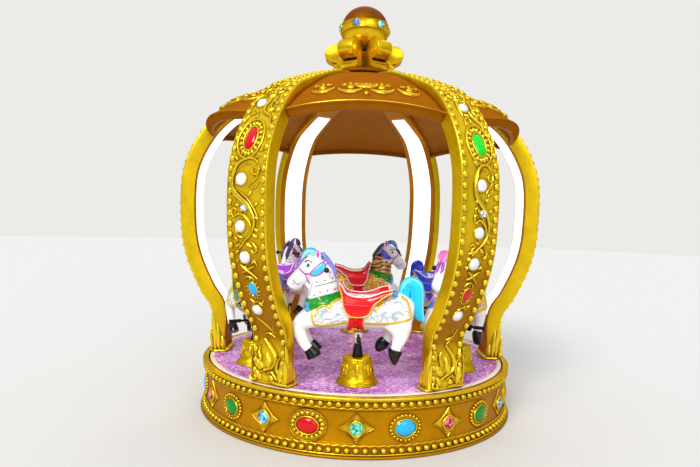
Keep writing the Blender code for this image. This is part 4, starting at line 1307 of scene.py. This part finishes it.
# Lines on the tack: finish, half width, height above the skin, then the places as x and z, in millimetres
TRACES = (
    ("piping", 4, 10, (-68, 800), (-72, 770), (-80, 738), (-22, 727), (34, 740), (28, 770), (24, 800)),
    ("gold", 7.8, 0, (-124, 930), (-152, 918), (-176, 900), (-181, 868)),
    ("gold", 7.8, 0, (-176, 872), (-196, 875), (-223, 886), (-253, 874), (-272, 845), (-278, 812)),
    ("gold", 7.8, 0, (-302, 842), (-298, 806), (-288, 778), (-270, 761), (-222, 760), (-174, 766), (-125, 776),
     (-80, 786)),
    ("gold", 7.8, 0, (34, 784), (92, 781), (190, 787), (270, 804), (328, 819), (324, 856), (313, 900), (298, 930),
     (268, 951)),
    ("gold", 8, 0, (160, 934), (140, 925), (126, 905), (120, 884), (104, 868), (110, 852)),
    ("gold", 6.4, 0, (150, 912), (134, 900), (122, 888)),
    ("seam", 3, 1.2, (98, 830), (120, 842), (142, 832), (162, 838), (180, 826), (204, 838), (226, 826)),
    ("seam", 3, 1.2, (205, 905), (232, 925), (262, 915), (278, 885)),
    ("seam", 3, 1.2, (160, 905), (178, 940), (210, 950), (240, 938)),
    ("seam", 3, 1.2, (-262, 800), (-240, 812), (-222, 800), (-200, 810), (-180, 798)),
    ("seam", 3, 1.2, (-235, 855), (-215, 868), (-196, 852)),
    ("silver", 2.4, 0, (-318, 921), (-285, 931), (-236, 947), (-186, 960), (-138, 971)),
    ("gold", 2.4, 0, (-312, 850), (-265, 870), (-212, 890), (-178, 899), (-118, 934)),
    ("green", 3, 0, (-288, 1001), (-238, 1015), (-151, 1038)),
    ("silver", 3, 0, (-322, 935), (-318, 965), (-312, 995), (-306, 1022)),
    ("silver", 2.6, 0, (-226, 1146), (-190, 1120), (-170, 1080), (-152, 1036), (-138, 990)),
    ("bridle", 4.6, 2, (-322, 1084), (-296, 1112), (-266, 1142), (-242, 1157), (-228, 1144), (-227, 1116),
     (-248, 1088), (-278, 1070), (-312, 1070), (-322, 1084)),
    ("bridle", 5, 0, (-392, 1112), (-377, 1095), (-354, 1079), (-331, 1079), (-314, 1074)),
    ("bridle", 4, 0, (-354, 1077), (-343, 1050), (-334, 1028), (-322, 1012)),
    ("mouth", 3, 0, (-432, 1038), (-418, 1020), (-402, 1008), (-388, 1018)),
    ("eye_black", 3.6, 0, (-360, 1152), (-347, 1162), (-330, 1163), (-310, 1152)),
    ("eye_black", 2, 0, (-352, 1128), (-338, 1124), (-322, 1128)),
)
# Small domes on the tack and head: finish, rings, sides, then x, z, half width, half height and rise in millimetres
DOMES = (
    # The small white dome on the eye's black, above and ahead of its middle, is a painted highlight
    ("eye_white", 3, 14, -335, 1137, 16, 12.5, 4), ("eye_black", 3, 12, -336, 1137, 10.5, 11.2, 7),
    ("eye_white", 2, 6, -339, 1141, 3.2, 3.2, 9), ("nostril", 2, 8, -430, 1012, 5.5, 4, 2),
    ("knot", 3, 12, 232, 968, 22, 12, 10), ("knot", 3, 12, -330, 858, 15, 20, 12),
    ("knot", 3, 12, -334, 884, 12, 16, 12),
)
DOTS = metres((
    (-276, 1029), (-227, 1042), (-176, 1056), (-291, 945), (-254, 965), (-205, 977), (-160, 986), (-215, 1150),
    (-192, 1095),
))
FLAP = metres((
    (-66, 812), (-72, 770), (-80, 736), (-22, 724), (34, 738), (28, 772), (24, 812), (-22, 818),
))
CHEEK = metres((
    (-322, 1084), (-296, 1112), (-266, 1142), (-242, 1157), (-228, 1144), (-227, 1116), (-248, 1088), (-278, 1070),
    (-312, 1070),
))


def inside(point, outline):
    """Whether a point lies inside a closed outline, seen from the side."""
    found = False
    for (x0, z0), (x1, z1) in zip(outline, outline[1:] + outline[:1]):
        if (z0 > point.z) != (z1 > point.z) and point.x < x0 + (point.z - z0) * (x1 - x0) / (z1 - z0):
            found = not found
    return found


def limb(bm, stations, sides, lateral, steps=4):
    """Smooth tube in the horse's plane; stations hold x, z, half width and half thickness."""
    line = smooth_line(stations, steps)

    def place(i, j):
        x, z, wide, thick = line[j]
        along = heading(line, j).xy.normalized()
        turn = TURN * i / sides
        off = thick * math.sin(turn)
        return Vector((x - along.y * off, lateral + wide * math.cos(turn), z + along.x * off))
    skin(bm, sides, len(line) - 1, place)


def strand(bm, points, radii, sides=8, flat=1.0, material=0):
    """A lock of hair or a rod: a tube through points in space, with one half width for all or one for each."""
    if isinstance(radii, float):
        radii = [radii] * len(points)
    line = smooth_line([(*point, radius) for point, radius in zip(points, radii)], 5)

    def place(i, j):
        along = heading(line, j).xyz.normalized()
        side = along.cross(Vector((0, 1, 0)))
        side = side.normalized() if side.length > 0.05 else Vector((1, 0, 0))
        turn = TURN * i / sides
        radius = line[j][3]
        return line[j].xyz + side * radius * flat * math.cos(turn) + side.cross(along) * radius * math.sin(turn)
    skin(bm, sides, len(line) - 1, place, material=material)


def make_flesh():
    """Mesh of the horse's moulding: limbs melted into one skin, zones raised and given their own material."""
    bm = bmesh.new()
    for sides, (lateral, *stations) in zip(FLESH_SIDES, FLESH):
        limb(bm, stations, sides, lateral)
    rough = bpy.data.meshes.new("rough_flesh")
    bm.to_mesh(rough)
    bm.free()
    block = bpy.data.objects.new("rough_flesh", rough)
    bpy.context.scene.collection.objects.link(block)
    melt = block.modifiers.new("melt", "REMESH")
    melt.mode = "VOXEL"
    melt.voxel_size = 0.0075
    relax = block.modifiers.new("relax", "SMOOTH")
    relax.factor = 0.6
    relax.iterations = 5
    bpy.context.view_layer.update()
    flesh = bpy.data.meshes.new_from_object(block.evaluated_get(bpy.context.evaluated_depsgraph_get()))
    bpy.data.objects.remove(block, do_unlink=True)
    bpy.data.meshes.remove(rough)
    bm = bmesh.new()
    bm.from_mesh(flesh)
    bpy.data.meshes.remove(flesh)
    bm.normal_update()
    rises = [max(rise if inside(vert.co, outline) else 0.0 for rise, *outline in ZONES) for vert in bm.verts]
    moves = [vert.normal * rise for vert, rise in zip(bm.verts, rises)]
    for vert, move in zip(bm.verts, moves):
        vert.co += move
    for face in bm.faces:
        face.material_index = 0
        for index, (_, *outline) in enumerate(ZONES, 1):
            if inside(face.calc_center_median(), outline):
                face.material_index = index
    bmesh.ops.smooth_vert(bm, verts=bm.verts, factor=0.4, use_axis_x=True, use_axis_y=True, use_axis_z=True)
    return bm


def make_hair():
    """Mesh of mane, forelock and tail: tapered locks in two tones each."""
    bm = bmesh.new()
    rng = random.Random(11)
    for k in range(6):
        x, z = -0.262 + 0.066 * (k / 5) ** 0.8, 1.200 - 0.085 * (k / 5)
        for hand in (-1, 1):
            sway = 0.006 * rng.random()
            strand(bm, [
                (x - 0.006, hand * 0.006, z + 0.004), (x + 0.018, hand * 0.020, z + 0.006),
                (x + 0.034, hand * 0.026, z - 0.020), (x + 0.034, hand * (0.025 + sway), z - 0.044),
                (x + 0.048, hand * (0.020 + sway), z - 0.062),
            ], [0.010, 0.016, 0.016, 0.011, 0.002], flat=0.75, material=k % 2)
    for y, lift, tone in ((0, 0, 2), (-0.016, -0.004, 3), (0.016, -0.004, 3), (-0.008, 0.006, 2), (0.008, 0.006, 2)):
        strand(bm, [
            (-0.272, y * 0.5, 1.196 + lift), (-0.306, y, 1.222 + lift), (-0.340, y, 1.224 + lift),
            (-0.366, y, 1.200 + lift), (-0.386, y * 0.7, 1.168 + lift),
        ], [0.012, 0.018, 0.020, 0.017, 0.002], flat=0.8, material=tone)
    for y in (-0.012, 0.012):
        strand(bm, [(-0.372, y, 1.168), (-0.395, y * 1.3, 1.146), (-0.410, y * 1.5, 1.118), (-0.432, y, 1.098)],
               [0.008, 0.012, 0.009, 0.002], material=1)
    centre = [Vector(p) for p in metres((
        (296, 930), (302, 990), (328, 1026), (362, 1014), (376, 955), (380, 890), (390, 838), (410, 802),
        (430, 780),
    ))]
    for y, off, tone in (
        (-0.026, 0.000, 4), (-0.014, 0.020, 5), (-0.014, -0.020, 4), (0.0, 0.028, 4), (0.0, -0.026, 5),
        (0.014, 0.020, 4), (0.014, -0.020, 5), (0.026, 0.0, 4), (-0.020, 0.012, 4), (0.0, 0.0, 5),
    ):
        points = []
        for i, (x, z) in enumerate(centre):
            along = heading(centre, i).normalized()
            share = math.sin(math.pi * min(1.0, 0.15 + i / 9)) ** 0.6
            points.append((x - along.y * off * share, y * share + 0.004 * math.sin(i + off * 90),
                           z + along.x * off * share))
        strand(bm, points, [0.016, 0.021, 0.024, 0.025, 0.024, 0.022, 0.018, 0.013, 0.002], material=tone)
    return bm


def side_seat(bvh, hand):
    """Seat on one side of the moulding: x along the horse, y its height, z away from the skin."""
    def seat(co):
        spot, normal, _, _ = bvh.ray_cast(Vector((co.x, hand * 0.5, co.y)), Vector((0, -hand, 0)))
        if spot is None:
            spot, normal, _, _ = bvh.find_nearest(Vector((co.x, hand * 0.10, co.y)))
        return spot + normal * co.z
    return seat


def at_x(line, x):
    """Height of a line, given as x and z, at x."""
    for (x0, z0), (x1, z1) in zip(line, line[1:]):
        if x <= x1:
            return z0 + (z1 - z0) * max(0.0, (x - x0) / (x1 - x0))
    return line[-1][1]


def make_saddle(bm):
    """Seat with its two skirts, rolled rim and piping."""
    stations = 40
    front, length = -0.132, 0.337
    low, top_line = smooth_line(SADDLE_LOW, 4), smooth_line(SADDLE_RIM, 4)

    def place(i, j):
        x = front + length * j / stations
        bottom, top = at_x(low, x), at_x(top_line, x)
        drop = top - bottom
        half = [(0.149, bottom), (0.151, bottom + 0.10 * drop), (0.149, bottom + 0.5 * drop),
                (0.140, bottom + 0.82 * drop), (0.132, top - 0.004), (0.126, top), (0.116, top - 0.003),
                (0.085, top - 0.016), (0.045, top - 0.024)]
        y, z = (half + [(0.0, top - 0.027)] + mirrored(half))[i]
        return Vector((x, y, z))
    skin(bm, 19, stations, place)
    for hand in (-1, 1):
        marks = [front + length * j / 16 for j in range(17)]
        strand(bm, [(x, hand * 0.129, at_x(top_line, x) - 0.001) for x in marks], 0.0045, material=1)
        strand(bm, [(x, hand * 0.1505, z + 0.004) for x, z in SADDLE_LOW], 0.0048, material=2)
        strand(bm, [(-0.100 + 0.165 * k / 4, hand * 0.1515, 0.902 - 0.004 * k / 4) for k in range(5)], 0.0022,
               material=3)
    for x, z in ((-0.131, 1.030), (0.203, 0.996)):
        across = [(x, share * 0.129, z - drop) for share, drop in (
            (-1, 0), (-0.5, 0.018), (0, 0.024), (0.5, 0.018), (1, 0))]
        strand(bm, across, 0.0055, material=1)


def make_tack(seats):
    """Mesh of saddle, girth, bridle, piping, dots and bows; each face has the index of its finish in TACK."""
    bm = bmesh.new()
    make_saddle(bm)
    flap_middle, cheek_middle = Vector((-0.022, 0.772)), Vector((-0.272, 1.110))
    flap = loop_outline([Vector(p) - flap_middle for p in FLAP])
    cheek = loop_outline([Vector(p) - cheek_middle for p in CHEEK])
    for seat in seats:
        boss(bm, flap, [(0, -0.01), (1.0, -0.01), (1.0, 0.010), (0.94, 0.014), (0, 0.014)],
             moved(seat, *flap_middle), sides=24)
        boss(bm, cheek, [(0, -0.006), (1.0, -0.006), (1.0, 0.003), (0.7, 0.007), (0, 0.008)],
             moved(seat, *cheek_middle), sides=27, material=TACK.index("cheek"))
        for name, *row in TRACES:
            radius, lift, *points = metres(row)
            stem(bm, smooth_line(points, 6), radius, moved(seat, lift=lift), material=TACK.index(name))
        for name, rings, sides, *row in DOMES:
            x, z, wide, high, rise = metres(row)
            boss(bm, ring(wide, high), cabochon(rise, rings=rings), moved(seat, x, z), sides=sides,
                 material=TACK.index(name))
        for x, z in DOTS:
            boss(bm, ring(0.0058), cabochon(0.003, rings=2), moved(seat, x, z), sides=8, material=TACK.index("dot"))
        leaf(bm, (-0.275, 1.186), (-0.279, 1.240), 0.010, seat, height=0.004, material=TACK.index("ear"))
    # Socket under the saddle that takes the post
    lathe(bm, [(0.0, 0.7085), (0.034, 0.7085), (0.036, 0.712), (0.036, 0.770), (0.0, 0.770)], 24)
    return bm


def make_fittings():
    """Mesh of hooves and handlebar."""
    bm = bmesh.new()
    for lateral, *stations in HOOVES:
        limb(bm, stations, 14, lateral, steps=3)
    strand(bm, [(-0.214, y, 1.112) for y in (-0.118, -0.040, 0.040, 0.118)], 0.009, sides=12)
    for hand in (-1, 1):
        knob = bmesh.new()
        bmesh.ops.create_uvsphere(knob, u_segments=16, v_segments=10, radius=0.018,
                                  matrix=Matrix.Translation((-0.214, hand * 0.114, 1.112)))
        pour(bm, knob)
    return bm


COAT = ("coat", "cloth", "collar", "blanket")
HAIR = ("mane_a", "mane_b", "lock_a", "lock_b", "tail_a", "tail_b")
TACK = (
    "saddle", "rim", "piping", "line", "gold", "seam", "silver", "green", "dot", "cheek", "bridle", "mouth",
    "eye_white", "eye_black", "nostril", "ear", "knot",
)
# Colours of the front horse, then what is different on each of the six, in the order of the seats
BASIC = dict(
    coat="F2F2F4", cloth="ECECF2", collar="049010", blanket="F3F4F6", mane_a="6E8FE0", mane_b="9A74D8",
    lock_a="2CC6E8", lock_b="8FE2F4", tail_a="12C9EC", tail_b="7BE6F8", saddle="E30D12", rim="F4F0EE",
    piping="F2C63C", line="F25A9A", gold="E8C030", seam="B8C4CC", silver="AEB4C0", green="1F5A34", dot="A81E4A",
    cheek="3FC3EA", bridle="C22AB8", mouth="A864B8", eye_white="F4F4F4", eye_black="08080A", nostril="7C5A86",
    ear="E03CB4", knot="3FA4E4",
)
HORSE_COLOURS = (
    dict(),
    dict(
        lock_a="F06AB0", lock_b="F49CCB", mane_a="E85CA8", mane_b="B04AC8", tail_a="F06AB0", tail_b="F9B4D6",
        collar="F07CB8", blanket="E9B93A", saddle="C63CB8", cheek="E8B63C", knot="2E8CE4",
    ),
    dict(
        tail_a="1736D8", tail_b="3E66F2", mane_a="2348D8", mane_b="5C80F0", lock_a="2C5CE8", lock_b="8CA8F8",
        saddle="1E3CD8", collar="2E5CE0", line="F2A0C8", cheek="7C5CE0",
    ),
    dict(
        cloth="tiger", mane_a="3A3C8C", mane_b="20265C", lock_a="3C6CA8", lock_b="5C90C8", blanket="gold_lace",
        # The back horse's maroon saddle rim is a darker copy of its red saddle, painted as the shade on the seat's
        # far inner side
        cheek="3A62DC", bridle="A03CB0", piping="F4F0EE", rim="8C1420", tail_a="3C58C0", tail_b="5C7CE0",
        silver="C89A28", green="6A4A14", dot="6A2408",
    ),
    dict(
        mane_a="5C3C8C", mane_b="3C3A48", lock_a="7C4CB0", lock_b="4A4656", ear="8C2440", saddle="9C3CC0",
        collar="C03C6C", tail_a="6C4CB8", tail_b="9C84D0", cheek="A02C5C",
    ),
    dict(
        tail_a="3C6CD8", tail_b="DCE8FA", mane_a="C83C9C", mane_b="7C3CB0", lock_a="3C9CE0", lock_b="BCE0F8",
        saddle="0E6A22", rim="E0B030", line="E050B0", collar="2C8CD8", knot="6CB8F0",
    ),
)


def horse_finish(part, colours):
    """Finish of one part of a horse, shared by the horses that have the same colour there."""
    code = colours[part]
    if code == "tiger":
        return tiger_paint("airbrushed_tiger_enamel")
    if code == "gold_lace":
        return glitter_enamel("gold_flake_enamel", "E0A010", spark="FFE890", scale=80.0, share_low=0.5)
    if part == "collar":
        return glitter_enamel("flake_enamel_" + code, code, scale=120.0, share_low=0.95)
    if part == "blanket":
        return quilted_enamel("quilted_gloss_enamel_" + code, code)
    if part in ("gold", "piping"):
        return sprayed_gloss("gold_gloss_enamel_" + code, code, roughness=0.25, metallic=0.35)
    return sprayed_gloss("gloss_enamel_" + code, code, roughness=0.2)


class CAROUSEL_OT_horses(bpy.types.Operator):
    """Build the six horses: moulding, hair, tack, hooves and handlebar"""
    bl_idname = "carousel.horses"
    bl_label = "Horses"

    def execute(self, context):
        black = sprayed_gloss("black_gloss_enamel", context.scene.carousel_seats.hoof_colour, roughness=0.18)
        flesh = make_flesh()
        bvh = BVHTree.FromBMesh(flesh)
        shapes = (flesh, make_hair(), make_tack([side_seat(bvh, hand) for hand in (-1, 1)]), make_fittings())
        for n, angle in enumerate(SEAT_ANGLES, 1):
            spot = turned(angle, (SEAT_RADIUS, 0, 0)) @ Matrix.Rotation(math.pi / 2, 4, "Z")
            palette = dict(BASIC, **HORSE_COLOURS[n - 1])
            coat, hair, tack = ([horse_finish(part, palette) for part in parts] for parts in (COAT, HAIR, TACK))
            moulding, *others = (shape.copy() for shape in shapes)
            make_piece(moulding, f"horse_moulding_{n}", f"horse_{n}_body", coat,
                       replaces=[f"horse_{n}"], matrix=spot)
            for bm, name, finishes in zip(others, ("hair", "tack", "fittings"), (hair, tack, [black])):
                make_piece(bm, f"horse_{name}_{n}", f"horse_{n}_body", finishes, matrix=spot, sharp=60)
        for shape in shapes:
            shape.free()
        return {"FINISHED"}


class CAROUSEL_OT_stage(bpy.types.Operator):
    """Set up the pale floor, the soft studio lights and the camera"""
    bl_idname = "carousel.stage"
    bl_label = "Stage"

    def execute(self, context):
        scene = context.scene
        scene.view_settings.view_transform = "Standard"
        floor = bmesh.new()
        lathe(floor, [(0.0, 0.0), (30.0, 0.0), (30.0, -0.05), (0.0, -0.05)], 96)
        mesh = bpy.data.meshes.new("studio_floor")
        floor.to_mesh(mesh)
        floor.free()
        mesh.materials.append(matt_paper("matt_white_paper"))
        ground = bpy.data.objects.new("studio_floor", mesh)
        scene.collection.objects.link(ground)
        scene.world = bpy.data.worlds.new("soft_studio")
        scene.world.use_nodes = True
        tree = scene.world.node_tree
        view = tree.nodes["Background"]
        view.inputs["Color"].default_value = linear("ECEBE8")
        # The room lights the ride more from above than from its walls, and is itself seen as pale paper
        compass = add_node(tree, "TexCoord")
        height = add_node(tree, "SeparateXYZ", {"Vector": compass.outputs["Generated"]})
        level = add_node(tree, "MapRange", {"Value": height.outputs["Z"], "From Min": 0.0, "From Max": 0.8,
                                            "To Min": 0.30, "To Max": 0.85})
        room = add_node(tree, "Background", {"Color": linear("F6F8FC"), "Strength": level.outputs[0]})
        path = add_node(tree, "LightPath")
        both = add_node(tree, "MixShader", {0: path.outputs["Is Camera Ray"], 1: room.outputs[0],
                                            2: view.outputs[0]})
        feed(tree, tree.nodes["World Output"], {"Surface": both.outputs[0]})
        for name, place, angle, power in (
            ("key_light", (-2.6, -5.4, 4.4), 24, 2.3), ("fill_light", (2.2, -5.4, 2.4), 34, 0.7),
            ("back_light", (0.5, 5.2, 4.8), 30, 0.5),
        ):
            light = bpy.data.lights.new(name, "SUN")
            light.energy = power
            light.angle = math.radians(angle)
            lamp = bpy.data.objects.new(name, light)
            lamp.location = place
            lamp.rotation_euler = (-Vector(place)).to_track_quat("-Z", "Y").to_euler()
            scene.collection.objects.link(lamp)
        # The camera as fitted to the photograph: focal length in pixels, place and the three angles in radians
        data = bpy.data.cameras.new("photo_camera")
        data.sensor_width = 36.0
        data.lens = 568.14 * data.sensor_width / 700
        camera = bpy.data.objects.new("photo_camera", data)
        scene.collection.objects.link(camera)
        pitch, yaw, roll = 0.0280, 0.002, 0.0290
        ahead = Vector((math.sin(yaw) * math.cos(pitch), math.cos(yaw) * math.cos(pitch), -math.sin(pitch)))
        right = ahead.cross(Vector((0, 0, 1))).normalized()
        up = right.cross(ahead)
        across = right * math.cos(roll) + up * math.sin(roll)
        over = up * math.cos(roll) - right * math.sin(roll)
        aim = Matrix((across, over, -ahead)).transposed().to_4x4()
        camera.matrix_world = Matrix.Translation((-0.080, -4.5541, 1.4498)) @ aim
        scene.camera = camera
        return {"FINISHED"}


class CAROUSEL_PT_panel(bpy.types.Panel):
    """Lists the carousel's sizes, colours and builders"""
    bl_idname = "CAROUSEL_PT_panel"
    bl_label = "Carousel"
    bl_space_type = "VIEW_3D"
    bl_region_type = "UI"
    bl_category = "Carousel"

    def draw(self, context):
        layout = self.layout
        for group, _, *operators in LAYOUT:
            box = layout.box()
            if group:
                settings = getattr(context.scene, group)
                for key in settings.__annotations__:
                    box.prop(settings, key)
            for operator in operators:
                box.operator(operator.bl_idname)


# Groups of the panel in building order: name of the settings, their class and the operators
LAYOUT = (
    ("carousel_base", CAROUSEL_PG_base, CAROUSEL_OT_base),
    ("carousel_deck", CAROUSEL_PG_deck, CAROUSEL_OT_deck),
    ("carousel_ribs", CAROUSEL_PG_ribs, CAROUSEL_OT_ribs, CAROUSEL_OT_lights),
    ("carousel_roof", CAROUSEL_PG_roof, CAROUSEL_OT_roof),
    ("carousel_finial", CAROUSEL_PG_finial, CAROUSEL_OT_finial),
    ("carousel_seats", CAROUSEL_PG_seats, CAROUSEL_OT_pedestals, CAROUSEL_OT_horses),
    (None, None, CAROUSEL_OT_stage),
)


def register():
    for name, group, *operators in LAYOUT:
        if name:
            bpy.utils.register_class(group)
            setattr(bpy.types.Scene, name, PointerProperty(type=group))
        for operator in operators:
            bpy.utils.register_class(operator)
    bpy.utils.register_class(CAROUSEL_PT_panel)


def unregister():
    bpy.utils.unregister_class(CAROUSEL_PT_panel)
    for name, group, *operators in reversed(LAYOUT):
        for operator in reversed(operators):
            bpy.utils.unregister_class(operator)
        if name:
            delattr(bpy.types.Scene, name)
            bpy.utils.unregister_class(group)


def main():
    register()
    for _, _, *operators in LAYOUT:
        for operator in operators:
            family, name = operator.bl_idname.split(".")
            getattr(getattr(bpy.ops, family), name)()


if __name__ == "__main__":
    main()
